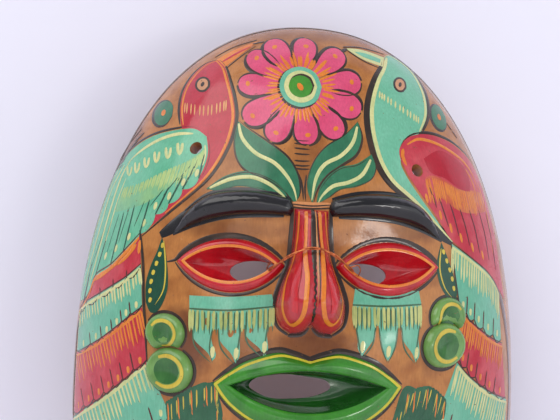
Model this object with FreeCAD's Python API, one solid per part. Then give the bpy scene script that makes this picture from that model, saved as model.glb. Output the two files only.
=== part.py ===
import FreeCAD
import Part
import math
import os

# A hand-made earthenware wall mask, about 216 mm wide and 270 mm tall, and its hanging wire.
#
# The potter presses a slab over a hump mould to get the shell, cuts the eye and mouth openings,
# and lutes on the brows, nose, eye surrounds, lips, ears and ear spools as separate pieces of
# clay. After the firing a thin wire is led out of one eye, over the bridge of the nose and in at
# the other eye, and its ends are twisted together behind the mask into an eye for a nail.
#
# Millimetres. +Z is up and the mask faces -Y. Its rim lies on the wall, the plane Y = 0. The
# origin is the point of the wall where the nail stands, behind the bridge of the nose.

Vector = FreeCAD.Vector
os.makedirs("parts", exist_ok=True)

# The shell: an egg-shaped rim, and a dome that bulges forward from it.
HALF_WIDTH = 108.0
CROWN_RISE = 184.0  # from the widest level up to the top of the rim
JAW_DROP = 86.0  # from the widest level down to the bottom of the rim
WIDEST_Z = -94.0
SQUARENESS = 2.2  # 2 is an ellipse, and more is squarer
DOME_DEPTH = 78.0
WALL = 7.0

# Soft relief pressed into the shell: centre x (on both sides if not 0), centre z, reach in x,
# reach in z, and height, which is below 0 for a hollow.
EYE_SOCKET = (27.0, -15.0, 25.0, 13.0, -4.0)
CHEEK = (38.0, -50.0, 19.0, 17.0, 4.0)
MUZZLE = (0.0, -74.0, 34.0, 20.0, 4.0)
CHIN = (0.0, -116.0, 26.0, 17.0, 7.0)

# Eyes: the surround lies on the shell and lines an almond opening, down to a smaller slot.
EYE_X = 34.5
EYE_Z = -21.5
EYE_HALF_LENGTH = 23.5
EYE_RISE = 11.0
EYE_DROP = 12.0
EYE_HEIGHT = 2.2
EYE_BORDER = 4.0  # from the outline of the surround in to its opening
EYE_PLUG_BORDER = 1.5  # from the outline of the surround in to the opening of the shell
SLOT_FROM_CORNER = 2.5  # from the inner corner of the outline of the surround to the slot
SLOT_BELOW = 1.5  # how far the slot lies below the level of the corners
SLOT_HALF_LENGTH = 12.5
SLOT_HALF_HEIGHT = 6.0
SLOT_X = EYE_X - EYE_HALF_LENGTH + SLOT_FROM_CORNER + SLOT_HALF_LENGTH
SLOT_Z = EYE_Z - SLOT_BELOW

# Mouth: two lips that meet at the corners and line the opening in the same way.
LIP_Z = -72.5
LIP_HALF_LENGTH = 41.0
LIP_RISE = 14.5
LIP_DROP = 19.0
LIP_PEAK_X = 14.5
LIP_NOTCH = 3.5  # how far the middle of the upper lip dips below its two peaks
LIP_NOTCH_SHAPE = 0.25  # the share of that dip that is reached half way from a peak
LIP_SHOULDER = 0.31  # how far the lip falls, as a share of its rise, half way to its corner
LIP_CHEEK_X = 34.5
LIP_CHEEK_DROP = 0.45  # how far down the lower lip is at LIP_CHEEK_X, as a share of its drop
LIP_BASE_X = 24.0
LIP_BASE_RISE = 3.0
LIP_HEIGHT = 5.0
LIP_CREST = 0.55  # where a lip is thickest, from 0 at the corners' level to 1 at its edge
MOUTH_HALF_LENGTH = 35.0  # of the opening in the shell
MOUTH_RISE = 9.5
MOUTH_DROP = 12.0
LIP_BORDER = 2.5  # from that opening in to the lips' own
GAP_X = -4.0
GAP_HALF_LENGTH = 18.5
GAP_HALF_HEIGHT = 6.0

# Brows: two rolls of clay that bow upwards and taper to the outer end.
BROW_INNER_X = 9.5
BROW_INNER_LOW_Z = 0.0
BROW_INNER_HIGH_Z = 7.0
BROW_CREST_X = 36.0
BROW_CREST_LOW_Z = -1.0
BROW_CREST_HIGH_Z = 10.0
BROW_TIP_X = 61.0
BROW_TIP_Z = -10.5
BROW_END_BULGE = 1.7
BROW_HEIGHT = 6.5

# Nose: a wedge with a narrow bridge, a broad end and two drop-shaped sides.
NOSE_TOP_Z = 3.5
NOSE_WAIST_Z = -18.0
NOSE_WIDEST_Z = -37.0
NOSE_END_Z = -50.0
NOSE_CLEFT_Z = -47.0
BRIDGE_HALF_WIDTH = 7.5
WAIST_HALF_WIDTH = 8.8
NOSE_HALF_WIDTH = 15.0
NOSE_DROP_X = 8.5
NOSE_CLEFT_BULGE = 1.2
NOSE_ROUNDING = 17.0  # how far below its widest level the nose would fall back to the shell
NOSE_CROWN = 0.8  # how much lower the sides are than the ridge
BRIDGE_HEIGHT = 5.0
NOSE_HEIGHT = 20.0

# Ears: an upper lobe, and a round spool below it. The potter set the two sides at different
# levels, so each side has its own centres, as distance out from the middle and level.
EAR_CENTRE = {"left": (62.0, -52.5), "right": (62.5, -43.0)}
EAR_RADIUS = 8.5
EAR_HEIGHT = 3.0
SPOOL_CENTRE = {"left": (59.5, -68.5), "right": (60.5, -55.5)}
SPOOL_RADIUS = 10.0
SPOOL_HEIGHT = 4.0

# Two holes through the forehead for a tie cord, square to the dome.
TIE_HOLE_CENTRE = {"left": (51.0, 28.5), "right": (48.5, 21.5)}
TIE_HOLE_RADIUS = 3.0

EDGE_STEP = 0.9  # how high the thinned edge of an applied piece stands above the shell

# The hanging wire: a doubled strand, taken as one round wire, and its twisted nail eye.
WIRE_RADIUS = 0.7
WIRE_GAP = 0.8  # between the wire and the ridge of the nose that it goes over
ARCH_Z = -13.0  # the level at which it goes over the nose
ARCH_HALF_WIDTH = 4.0
SLOT_INSET = 5.0  # from the inner corner of an eye slot to the wire
WIRE_OUT = 3.0  # how far it stands out of the slot before it turns to the nose
WIRE_IN = 6.0  # how far behind the slot it turns to the nail
LEG_SPREAD = 0.62  # how wide the legs still are at LEG_SPREAD_Y, as a share
LEG_SPREAD_Y = -38.0
BEND_SHARE = 0.45  # how much of the shorter run at a corner its arc takes
STEM_RADIUS = 1.2
STEM_FOOT_Y = -20.0
STEM_FOOT_Z = -10.0
NAIL_EYE_RADIUS = 3.6  # to the middle of the wire
NAIL_EYE_Y = -3.0

GRID = 3.0  # spacing of the points that an applied piece's front is drawn through
FAR = 150.0  # further than any part of the mask stands out from the wall
HALVINGS = 60  # steps of a search by halves or thirds, past the last digit that matters
SIGN = {"left": -1, "right": 1}  # the two sides, as a viewer sees them


def plain_dome(x, z, inset):
    """How far the plain dome, made smaller all round by inset, stands out from the wall."""
    reach = CROWN_RISE if z > WIDEST_Z else JAW_DROP
    across = (abs(x) / (HALF_WIDTH - inset)) ** SQUARENESS
    along = (abs(z - WIDEST_Z) / (reach - inset)) ** SQUARENESS
    return (DOME_DEPTH - inset) * math.sqrt(max(0.0, 1.0 - across - along))


def relief(x, z):
    """The height of the soft relief."""
    total = 0.0
    for centre_x, centre_z, reach_x, reach_z, height in (EYE_SOCKET, CHEEK, MUZZLE, CHIN):
        for side in (-1, 1) if centre_x else (1,):
            away = ((x - side * centre_x) / reach_x) ** 2 + ((z - centre_z) / reach_z) ** 2
            total += height * math.exp(-away)
    return total


def stand_out(x, z, inset=0.0):
    """How far the shell's front, or its back if inset is the wall, stands out from the wall."""
    plain = plain_dome(x, z, inset)
    return plain + relief(x, z) * plain / DOME_DEPTH


def rim_reach(angle, inset):
    """The distance to the rim from the middle of the mouth, in the direction of angle."""
    low, high = 0.0, CROWN_RISE + JAW_DROP
    for _ in range(HALVINGS):
        middle = (low + high) / 2
        if plain_dome(middle * math.cos(angle), LIP_Z + middle * math.sin(angle), inset) > 0:
            low = middle
        else:
            high = middle
    return low


def skin(inset):
    """The front or back face of the shell, through points on rings about the mouth.

    Its innermost ring leaves a pinhole where the mouth is cut. The rows of points run on past
    one full turn by an overlap, which keeps the face smooth where it closes.
    """
    turns, rings, overlap, pinhole = 72, 20, 5, 0.015
    first = math.asin(pinhole)
    rows = []
    for step in range(-overlap, turns + overlap + 1):
        angle = 2 * math.pi * step / turns - math.pi / 2
        reach = rim_reach(angle, inset)
        row = []
        for ring in range(rings):
            share = math.sin(first + (math.pi / 2 - first) * ring / rings)
            x = share * reach * math.cos(angle)
            z = LIP_Z + share * reach * math.sin(angle)
            row.append(Vector(x, -stand_out(x, z, inset), z))
        row.append(Vector(reach * math.cos(angle), 0, LIP_Z + reach * math.sin(angle)))
        rows.append(row)
    surface = Part.BSplineSurface()
    surface.interpolate(rows)
    _, _, v_low, v_high = surface.bounds()
    seam = rows[overlap][-1]
    start, end = (surface_turn(surface, seam, half) for half in (0, 1))
    surface.segment(start, end, v_low, v_high)
    return surface.toShape()


def surface_turn(surface, point, half):
    """Where the face passes through the point, in the first or second half of its turns."""
    u_low, u_high, _, v_high = surface.bounds()
    middle = (u_low + u_high) / 2
    bounds = (u_low, middle) if half == 0 else (middle, u_high)
    edge = surface.vIso(v_high)
    low, high = bounds
    for _ in range(HALVINGS):
        third = (high - low) / 3
        near_low = edge.value(low + third).distanceToPoint(point)
        near_high = edge.value(high - third).distanceToPoint(point)
        if near_low < near_high:
            high -= third
        else:
            low += third
    return (low + high) / 2


def rim_and_pinhole(face):
    """The outer edge of a skin, and the edge of its pinhole."""
    closed = [edge for edge in face.Edges if edge.isClosed()]
    closed.sort(key=lambda edge: edge.Length)
    return closed[-1], closed[0]


def solid_of(faces):
    """The solid that a closed set of faces bounds."""
    shell = Part.makeShell(faces)
    shell.sewShape()
    solid = Part.makeSolid(shell)
    if solid.Volume < 0:
        solid.reverse()
    return solid


def dome_body(face):
    """All the space between the wall and a skin."""
    rim, pinhole = rim_and_pinhole(face)
    return solid_of([face, Part.Face(Part.Wire(rim)), Part.makeFilledFace([pinhole])])


def arcs(points, closing_line=False):
    """A closed wire of an arc through each three points in turn.

    Each arc starts where the one before it ends. The last ends at the first point, or a
    straight line runs back from it to the first point.
    """
    ring = points if closing_line else [*points, points[0]]
    edges = [Part.Arc(*ring[at : at + 3]).toShape() for at in range(0, len(ring) - 2, 2)]
    if closing_line:
        edges.append(Part.LineSegment(points[-1], points[0]).toShape())
    return Part.Wire(edges)


def outline(points, closing_line=False):
    """Such a wire in the plane of the wall, from pairs of x and z."""
    return arcs([Vector(x, 0, z) for x, z in points], closing_line)


def disc(x, z, radius):
    """A round outline in the plane of the wall."""
    return Part.Wire([Part.Circle(Vector(x, 0, z), Vector(0, 1, 0), radius).toShape()])


def on_side(side, points):
    """The points, given for the mask's right half, on either side of it."""
    return [(SIGN[side] * x, z) for x, z in points]


def almond(x, z, half_length, rise, drop):
    """The points of an eye-shaped outline."""
    return [(x - half_length, z), (x, z + rise), (x + half_length, z), (x, z - drop)]


def prism(wire):
    """All the space in front of an outline."""
    return Part.Face(wire).extrude(Vector(0, -FAR, 0))


def behind_front(box, height):
    """All the space behind a front that stands out from the shell by height(x, z)."""
    points = []
    for column in range(-1, math.ceil(box.XLength / GRID) + 2):
        x = box.XMin + GRID * column
        line = []
        for row in range(-1, math.ceil(box.ZLength / GRID) + 2):
            z = box.ZMin + GRID * row
            line.append(Vector(x, -stand_out(x, z) - EDGE_STEP - height(x, z), z))
        points.append(line)
    surface = Part.BSplineSurface()
    surface.interpolate(points)
    return surface.toShape().extrude(Vector(0, FAR, 0))


def applied(wire, height, seat):
    """A piece of clay with this outline and height, luted to the seat."""
    return prism(wire).common(behind_front(wire.BoundBox, height)).cut(seat)


def outward(x, z):
    """The direction square to the plain dome at a point, away from the wall."""
    step = 0.1
    slope_x = (plain_dome(x + step, z, 0) - plain_dome(x - step, z, 0)) / (2 * step)
    slope_z = (plain_dome(x, z + step, 0) - plain_dome(x, z - step, 0)) / (2 * step)
    return Vector(-slope_x, -1, -slope_z).normalize()


def funnel(front, back, middle, height):
    """The space from an outline at this height over the shell to one at the shell's back.

    Both lie along the dome where it passes through middle, and the space runs on past them.
    """
    square = outward(*middle)
    wires = []
    for level in (height + WALL, -2 * WALL):
        share = (height - level) / (height + WALL)
        points = []
        for near, far in zip(front, back):
            x = near[0] + (far[0] - near[0]) * share
            z = near[1] + (far[1] - near[1]) * share
            lean = (square.x * (x - middle[0]) + square.z * (z - middle[1])) / square.y
            points.append(Vector(x, -stand_out(*middle) - lean - level, z))
        wires.append(arcs(points))
    return Part.makeLoft(wires, True, True)


def eye_outline(side, border):
    """The outline of the eye surround, made smaller all round by border."""
    half_length = EYE_HALF_LENGTH - border
    points = almond(EYE_X, EYE_Z, half_length, EYE_RISE - border, EYE_DROP - border)
    return on_side(side, points)


def eye_surround(side, shell, hollow):
    def height(x, z):
        across = ((abs(x) - EYE_X) / EYE_HALF_LENGTH) ** 2
        return EYE_HEIGHT * (1 - across - ((z - EYE_Z) / EYE_DROP) ** 2)

    slot = almond(SLOT_X, SLOT_Z, SLOT_HALF_LENGTH, SLOT_HALF_HEIGHT, SLOT_HALF_HEIGHT)
    middle = on_side(side, [(EYE_X, EYE_Z)])[0]
    opening = funnel(eye_outline(side, EYE_BORDER), on_side(side, slot), middle, EYE_HEIGHT)
    blank = applied(outline(eye_outline(side, 0)), height, shell)
    return blank.cut(hollow).cut(opening)


def mouth_opening(border):
    """The almond that is cut in the shell for the mouth, less border all round."""
    return almond(
        0, LIP_Z, MOUTH_HALF_LENGTH - border, MOUTH_RISE - border, MOUTH_DROP - border
    )


def lips(shell, hollow):
    """The upper and the lower lip, which meet at the level of the mouth's corners."""
    top, bottom = LIP_Z + LIP_RISE, LIP_Z - LIP_DROP
    shoulder_x = (LIP_HALF_LENGTH + LIP_PEAK_X) / 2
    right_of_peak = [
        (LIP_PEAK_X, top),
        (shoulder_x, top - LIP_RISE * LIP_SHOULDER),
        (LIP_HALF_LENGTH, LIP_Z),
    ]
    notch = [(-LIP_PEAK_X / 2, top - LIP_NOTCH * LIP_NOTCH_SHAPE), (0, top - LIP_NOTCH)]
    upper = [(-x, z) for x, z in reversed(right_of_peak)] + notch
    upper += [(-notch[0][0], notch[0][1])] + right_of_peak
    lower = [
        (-LIP_HALF_LENGTH, LIP_Z),
        (-LIP_CHEEK_X, LIP_Z - LIP_DROP * LIP_CHEEK_DROP),
        (-LIP_BASE_X, bottom + LIP_BASE_RISE),
        (0, bottom),
        (LIP_BASE_X, bottom + LIP_BASE_RISE),
        (LIP_CHEEK_X, LIP_Z - LIP_DROP * LIP_CHEEK_DROP),
        (LIP_HALF_LENGTH, LIP_Z),
    ]

    def height(x, z):
        reach = LIP_RISE if z > LIP_Z else LIP_DROP
        along = 1 - (x / LIP_HALF_LENGTH) ** 2
        across = (abs(z - LIP_Z) / reach - LIP_CREST) / (1 - LIP_CREST)
        return LIP_HEIGHT * along * (1 - across**2)

    gap = almond(GAP_X, LIP_Z, GAP_HALF_LENGTH, GAP_HALF_HEIGHT, GAP_HALF_HEIGHT)
    opening = funnel(mouth_opening(LIP_BORDER), gap, (0, LIP_Z), LIP_HEIGHT)
    return [
        applied(outline(points, closing_line=True), height, shell).cut(hollow).cut(opening)
        for points in (upper, lower)
    ]


def brow(side, dome):
    low = [(BROW_INNER_X, BROW_INNER_LOW_Z), (BROW_CREST_X, BROW_CREST_LOW_Z)]
    high = [(BROW_CREST_X, BROW_CREST_HIGH_Z), (BROW_INNER_X, BROW_INNER_HIGH_Z)]
    tip = (BROW_TIP_X, BROW_TIP_Z)
    end = (BROW_INNER_X - BROW_END_BULGE, (BROW_INNER_LOW_Z + BROW_INNER_HIGH_Z) / 2)
    half_width = (BROW_CREST_HIGH_Z - BROW_CREST_LOW_Z) / 2

    def height(x, z):
        under = z - parabola([*low, tip], abs(x))
        over = parabola([*high, tip], abs(x)) - z
        return BROW_HEIGHT * under * over / half_width**2

    wire = outline(on_side(side, [*low, tip, *high, end]))
    return applied(wire, height, dome)


def parabola(points, x):
    """The height at x of the parabola through three points."""
    total = 0.0
    for x0, z0 in points:
        share = 1.0
        for x1, _ in points:
            if x1 != x0:
                share *= (x - x1) / (x0 - x1)
        total += z0 * share
    return total


def nose_height(x, z):
    """The height of the nose: a ridge that climbs to the tip and is rounded off below it."""
    climb = (NOSE_TOP_Z - z) / (NOSE_TOP_Z - NOSE_WIDEST_Z)
    half_width = BRIDGE_HALF_WIDTH + (NOSE_HALF_WIDTH - BRIDGE_HALF_WIDTH) * min(1, climb**2)
    if climb < 1:
        ridge = BRIDGE_HEIGHT + (NOSE_HEIGHT - BRIDGE_HEIGHT) * climb
    else:
        ridge = NOSE_HEIGHT * (1 - ((z - NOSE_WIDEST_Z) / NOSE_ROUNDING) ** 2)
    return ridge * (1 - NOSE_CROWN * (x / half_width) ** 2)


def nose(dome):
    right = [
        (0, NOSE_CLEFT_Z),
        (NOSE_DROP_X / 2, (NOSE_CLEFT_Z + NOSE_END_Z) / 2 - NOSE_CLEFT_BULGE),
        (NOSE_DROP_X, NOSE_END_Z),
        (NOSE_HALF_WIDTH - NOSE_CLEFT_BULGE, (NOSE_END_Z + NOSE_WIDEST_Z) / 2),
        (NOSE_HALF_WIDTH, NOSE_WIDEST_Z),
        (WAIST_HALF_WIDTH, NOSE_WAIST_Z),
        (BRIDGE_HALF_WIDTH, NOSE_TOP_Z),
    ]
    left = [(-x, z) for x, z in reversed(right[1:])]
    return applied(outline(left + right, closing_line=True), nose_height, dome)


def dished(centre, radius, height):
    """The height of a disc of clay that is thickest in the middle."""
    return lambda x, z: height * (1 - ((x - centre[0]) ** 2 + (z - centre[1]) ** 2) / radius**2)


def ear_and_spool(side, dome):
    ear_at, spool_at = on_side(side, [EAR_CENTRE[side], SPOOL_CENTRE[side]])
    spool_wire = disc(*spool_at, SPOOL_RADIUS)
    ear_height = dished(ear_at, EAR_RADIUS, EAR_HEIGHT)
    spool_height = dished(spool_at, SPOOL_RADIUS, SPOOL_HEIGHT)
    ear = applied(disc(*ear_at, EAR_RADIUS), ear_height, dome).cut(prism(spool_wire))
    return ear, applied(spool_wire, spool_height, dome)


def tie_hole(side):
    ((x, z),) = on_side(side, [TIE_HOLE_CENTRE[side]])
    axis = outward(x, z)
    start = Vector(x, -stand_out(x, z), z) - axis * 2 * WALL
    return Part.makeCylinder(TIE_HOLE_RADIUS, 3 * WALL, start, axis)


def rounded_path(points):
    """Straight runs between the points, joined by arcs as large as the runs leave room for."""
    edges = []
    last = points[0]
    for before, corner, after in zip(points, points[1:], points[2:]):
        back = (before - corner).normalize()
        ahead = (after - corner).normalize()
        half_turn = (math.pi - back.getAngle(ahead)) / 2
        trim = BEND_SHARE * min(before.distanceToPoint(corner), after.distanceToPoint(corner))
        radius = trim / math.tan(half_turn)
        inward = (back + ahead).normalize()
        centre = corner + inward * (radius / math.cos(half_turn))
        start, end = corner + back * trim, corner + ahead * trim
        edges.append(Part.LineSegment(last, start).toShape())
        edges.append(Part.Arc(start, centre - inward * radius, end).toShape())
        last = end
    edges.append(Part.LineSegment(last, points[-1]).toShape())
    return Part.Wire(edges)


def hanging_wire():
    """From the twisted stem, out of the left eye, over the nose, in at the right eye and back."""
    through_x = SLOT_X - SLOT_HALF_LENGTH + SLOT_INSET
    over_y = -stand_out(0, ARCH_Z) - EDGE_STEP - nose_height(0, ARCH_Z) - WIRE_GAP - WIRE_RADIUS
    right = [
        Vector(ARCH_HALF_WIDTH, over_y, ARCH_Z),
        Vector(through_x, -stand_out(through_x, SLOT_Z) - WIRE_OUT, SLOT_Z),
        Vector(through_x, -stand_out(through_x, SLOT_Z, WALL) + WIRE_IN, SLOT_Z),
        Vector(through_x * LEG_SPREAD, LEG_SPREAD_Y, (SLOT_Z + STEM_FOOT_Z) / 2),
        Vector(WIRE_RADIUS, STEM_FOOT_Y, STEM_FOOT_Z),
    ]
    left = [Vector(-point.x, point.y, point.z) for point in reversed(right)]
    route = left + right
    path = rounded_path(route)
    start = route[1] - route[0]
    section = Part.Wire([Part.Circle(route[0], start, WIRE_RADIUS).toShape()])
    return path.makePipeShell([section], True, True), path


def wire_eye():
    """The ring for the nail, and the two ends twisted together below it."""
    ring_centre = Vector(0, NAIL_EYE_Y, 0)
    ring = Part.makeTorus(NAIL_EYE_RADIUS, WIRE_RADIUS, ring_centre, Vector(0, 1, 0))
    foot = Vector(0, STEM_FOOT_Y, STEM_FOOT_Z)
    top = Vector(0, NAIL_EYE_Y, -NAIL_EYE_RADIUS)
    stem = Part.makeCylinder(STEM_RADIUS, foot.distanceToPoint(top), foot, top - foot)
    return ring.fuse(stem)


def whole(name, shape):
    """The shape's one solid, written to its file."""
    if len(shape.Solids) != 1 or not shape.isValid():
        raise ValueError(f"{name} is {len(shape.Solids)} solids, valid {shape.isValid()}")
    shape.Solids[0].exportStep(f"parts/{name}.step")
    return shape.Solids[0]


front, back = skin(0.0), skin(WALL)
dome, hollow = dome_body(front), dome_body(back)
blank_shell = dome.cut(hollow)
cuts = [prism(outline(eye_outline(side, EYE_PLUG_BORDER))) for side in SIGN]
cuts.append(prism(outline(mouth_opening(0))))
cuts += [tie_hole(side) for side in SIGN]
shell = whole("face_shell", blank_shell.cut(cuts))

whole("nose", nose(dome))
for lip_name, lip in zip(("upper_lip", "lower_lip"), lips(shell, hollow)):
    whole(lip_name, lip)
for side in SIGN:
    whole(f"brow_{side}", brow(side, dome))
    whole(f"eye_surround_{side}", eye_surround(side, shell, hollow))
    ear, spool = ear_and_spool(side, dome)
    whole(f"ear_{side}", ear)
    whole(f"ear_spool_{side}", spool)

twisted_end = whole("wire_eye", wire_eye())
tube, route = hanging_wire()
wire = whole("hanging_wire", tube.cut(twisted_end))
print("wire length", route.Length, "radii", [edge.Curve.Radius for edge in route.Edges[1::2]])
print("wire volume by length", tube.Volume / route.Length, "section", math.pi * WIRE_RADIUS**2)
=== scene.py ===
import bpy
import math
import random
import numpy as np
from mathutils import Matrix, Vector, geometry, noise


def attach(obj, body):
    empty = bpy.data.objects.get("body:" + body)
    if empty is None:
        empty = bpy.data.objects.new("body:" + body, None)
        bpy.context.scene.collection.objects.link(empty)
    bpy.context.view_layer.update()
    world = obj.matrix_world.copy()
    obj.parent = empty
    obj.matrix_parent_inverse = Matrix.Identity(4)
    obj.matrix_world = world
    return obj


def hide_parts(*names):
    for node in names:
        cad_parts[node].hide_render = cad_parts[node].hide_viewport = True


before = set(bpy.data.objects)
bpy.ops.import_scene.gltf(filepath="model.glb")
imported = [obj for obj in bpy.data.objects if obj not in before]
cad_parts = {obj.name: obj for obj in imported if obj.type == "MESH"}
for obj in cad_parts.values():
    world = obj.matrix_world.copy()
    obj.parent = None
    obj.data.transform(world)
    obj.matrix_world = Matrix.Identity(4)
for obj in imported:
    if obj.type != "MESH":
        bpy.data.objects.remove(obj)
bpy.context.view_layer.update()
bpy.ops.object.select_all(action="DESELECT")

MM = 0.001

# Camera
# A plain view of the face from in front, a little to its left and above, as it hangs.
VIEW_AZIMUTH = math.radians(-4.0)
VIEW_ELEVATION = math.radians(2.0)
VIEW_ROLL = math.radians(1.74)
VIEW_TARGET = Vector((-9.08, 0.0, 0.14)) * MM
VIEW_DISTANCE = 560.0 * MM
LENS = 72.86

turn = Matrix.Rotation(VIEW_AZIMUTH, 4, "Z") @ Matrix.Rotation(math.pi / 2 - VIEW_ELEVATION, 4, "X")
bpy.ops.object.camera_add()
camera = bpy.context.object
camera.data.lens = LENS
camera.data.sensor_width = 36.0
camera.data.clip_start = 0.01
back_off = turn @ Vector((0, 0, VIEW_DISTANCE))
camera.matrix_world = Matrix.Translation(VIEW_TARGET + back_off) @ turn @ Matrix.Rotation(VIEW_ROLL, 4, "Z")
bpy.context.scene.camera = camera


# Stage and light
# A pale room: a floor under the chin, a pale lilac wall close behind the rim, a very
# large soft window high on the left of the viewer and weaker light from the right.
WALL_COLOUR = (243, 242, 254)
FLOOR_COLOUR = (240, 239, 244)
WALL_Y = 45 * MM
FLOOR_Z = -180.5 * MM


def linear(colour):
    """The linear colour of an sRGB colour with parts from 0 to 255."""
    parts = [part / 255 for part in colour]
    return (*[p / 12.92 if p <= 0.04045 else ((p + 0.055) / 1.055) ** 2.4 for p in parts], 1.0)


def new_material(name):
    """A new material with its nodes, its links and its shader."""
    material = bpy.data.materials.new(name)
    material.use_nodes = True
    nodes = material.node_tree.nodes
    return material, nodes, material.node_tree.links, nodes["Principled BSDF"]


def stage_plane(name, location, rotation, size, colour, one_sided):
    """A plain plane round the object. A one-sided plane is clear from behind."""
    bpy.ops.mesh.primitive_plane_add(size=size, location=location, rotation=rotation)
    plane = bpy.context.object
    plane.name = name
    material, nodes, links, shader = new_material(name)
    shader.inputs["Base Color"].default_value = linear(colour)
    shader.inputs["Roughness"].default_value = 0.9
    if one_sided:
        clear = nodes.new("ShaderNodeBsdfTransparent")
        side = nodes.new("ShaderNodeNewGeometry")
        mix = nodes.new("ShaderNodeMixShader")
        links.new(side.outputs["Backfacing"], mix.inputs["Fac"])
        links.new(shader.outputs["BSDF"], mix.inputs[1])
        links.new(clear.outputs["BSDF"], mix.inputs[2])
        links.new(mix.outputs["Shader"], nodes["Material Output"].inputs["Surface"])
    plane.data.materials.append(material)


stage_plane("stage_floor", (0, 0, FLOOR_Z), (0, 0, 0), 4.0, FLOOR_COLOUR, False)
stage_plane("stage_wall", (0, WALL_Y, 0.8), (math.pi / 2, 0, 0), 4.0, WALL_COLOUR, True)

# For each light: where it stands, what it points at, width, height, power in watts, colour.
# The bulb is small, so that it puts bright glints in the varnish.
LIGHTS = {
    "window": ((-0.75, -0.75, 1.15), (0, -0.03, -0.03), 1.5, 1.2, 13.0, (1.0, 0.98, 0.95)),
    "right_fill": ((0.95, -0.7, 0.25), (0, -0.03, -0.05), 0.9, 0.9, 2.4, (0.95, 0.97, 1.0)),
    "bulb": ((0.42, -0.75, -0.02), (0, -0.05, -0.05), 0.16, 0.10, 0.6, (1.0, 0.97, 0.93)),
    "low_fill": ((0.1, -1.1, -0.05), (0, 0, -0.03), 1.0, 0.35, 1.2, (1.0, 0.97, 0.95)),
}
for light_name, (stand, target, width, height, power, colour) in LIGHTS.items():
    aim = (Vector(target) - Vector(stand)).to_track_quat("-Z", "Y")
    bpy.ops.object.light_add(type="AREA", location=stand, rotation=aim.to_euler())
    lamp = bpy.context.object.data
    lamp.name = light_name
    lamp.shape = "RECTANGLE"
    lamp.size = width
    lamp.size_y = height
    lamp.energy = power
    lamp.color = colour

world = bpy.data.worlds.new("room")
world.use_nodes = True
world.node_tree.nodes["Background"].inputs["Color"].default_value = linear((226, 228, 240))
world.node_tree.nodes["Background"].inputs["Strength"].default_value = 0.5
bpy.context.scene.world = world
bpy.context.scene.view_settings.view_transform = "Standard"


# Face shell
# A slab of brown earthenware, 7 mm thick, pressed over a hump mould, with its rim left flat
# to lie on the wall. The openings are cut while it is soft. Its front is coated with tan slip.
HALF_WIDTH = 108.0
CROWN_RISE = 184.0
JAW_DROP = 86.0
WIDEST_Z = -94.0
SQUARENESS = 2.2
DOME_DEPTH = 78.0
WALL = 7.0
# centre x on both sides, centre z, reach in x, reach in z, height
RELIEF = [
    (27.0, -15.0, 25.0, 13.0, -4.0),
    (38.0, -50.0, 19.0, 17.0, 4.0),
    (0.0, -74.0, 34.0, 20.0, 4.0),
    (0.0, -116.0, 26.0, 17.0, 7.0),
]
FLAT = 150.0  # the radius of the rim when the dome is laid out flat around its widest level
STEP = 0.25
EYE_AT = (34.5, -21.5)
EYE_HALF = 23.5
EYE_RISE = 11.0
EYE_DROP = 12.0
EYE_PLUG_BORDER = 1.5
LIP_Z = -72.5
MOUTH_HALF = 35.0
MOUTH_RISE = 9.5
MOUTH_DROP = 12.0
TIE_HOLES = {"left": (-51.0, 28.5), "right": (48.5, 21.5)}
TIE_HOLE_RADIUS = 3.0


def plain_dome(x, z, inset):
    """How far the plain dome stands out from the wall, in millimetres."""
    reach = CROWN_RISE if z > WIDEST_Z else JAW_DROP
    across = (abs(x) / (HALF_WIDTH - inset)) ** SQUARENESS
    along = (abs(z - WIDEST_Z) / (reach - inset)) ** SQUARENESS
    return (DOME_DEPTH - inset) * math.sqrt(max(0.0, 1.0 - across - along))


def stand_out(x, z, inset=0.0):
    """The dome with its soft relief and the unevenness that the potter's fingers leave."""
    plain = plain_dome(x, z, inset)
    height = 0.55 * noise.noise(Vector((x / 27, z / 27, 1.7)))
    height += 0.13 * noise.noise(Vector((x / 8, z / 8, 5.2)))
    for centre_x, centre_z, reach_x, reach_z, bulge in RELIEF:
        for side in (-1, 1) if centre_x else (1,):
            away = ((x - side * centre_x) / reach_x) ** 2 + ((z - centre_z) / reach_z) ** 2
            height += bulge * math.exp(-away)
    return plain + height * plain / DOME_DEPTH


def unit_reach(x, z, inset=0.0):
    """How far out towards the rim a place is, from 0 at the widest level's middle to 1."""
    reach = CROWN_RISE if z > WIDEST_Z else JAW_DROP
    across = (abs(x) / (HALF_WIDTH - inset)) ** SQUARENESS
    return (across + (abs(z - WIDEST_Z) / (reach - inset)) ** SQUARENESS) ** (1 / SQUARENESS)


def to_flat(x, z):
    """The place (x, z) on the dome laid out flat, where its rim is a circle."""
    share = math.asin(min(1.0, unit_reach(x, z))) / (math.pi / 2)
    length = max(1e-9, math.hypot(x, z - WIDEST_Z))
    return FLAT * share * x / length, FLAT * share * (z - WIDEST_Z) / length


def from_flat(p, q, inset=0.0):
    """The place (x, z) of a point of the dome laid out flat."""
    length = math.hypot(p, q)
    if length < 1e-6:
        return 0.0, WIDEST_Z
    share = math.sin(min(1.0, length / FLAT) * math.pi / 2)
    unit = unit_reach(p / length, WIDEST_Z + q / length, inset)
    return share / unit * p / length, WIDEST_Z + share / unit * q / length


def bare(x, z):
    """The height of the bare shell over itself."""
    return 0.0


def face_point(p, q, over):
    """A point of the front, or of a piece of clay that stands over it by that much."""
    x, z = from_flat(p, q)
    here = Vector((x, -stand_out(x, z), z))
    if over is not bare:
        here += on_face(p, q)[1] * over(x, z)
    return here


def on_face(p, q, over=bare):
    """A point of the front, laid out flat at (p, q), and the way square to it there."""
    across = face_point(p + STEP, q, over) - face_point(p - STEP, q, over)
    up = face_point(p, q + STEP, over) - face_point(p, q - STEP, over)
    return face_point(p, q, over), across.cross(up).normalized()


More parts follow.
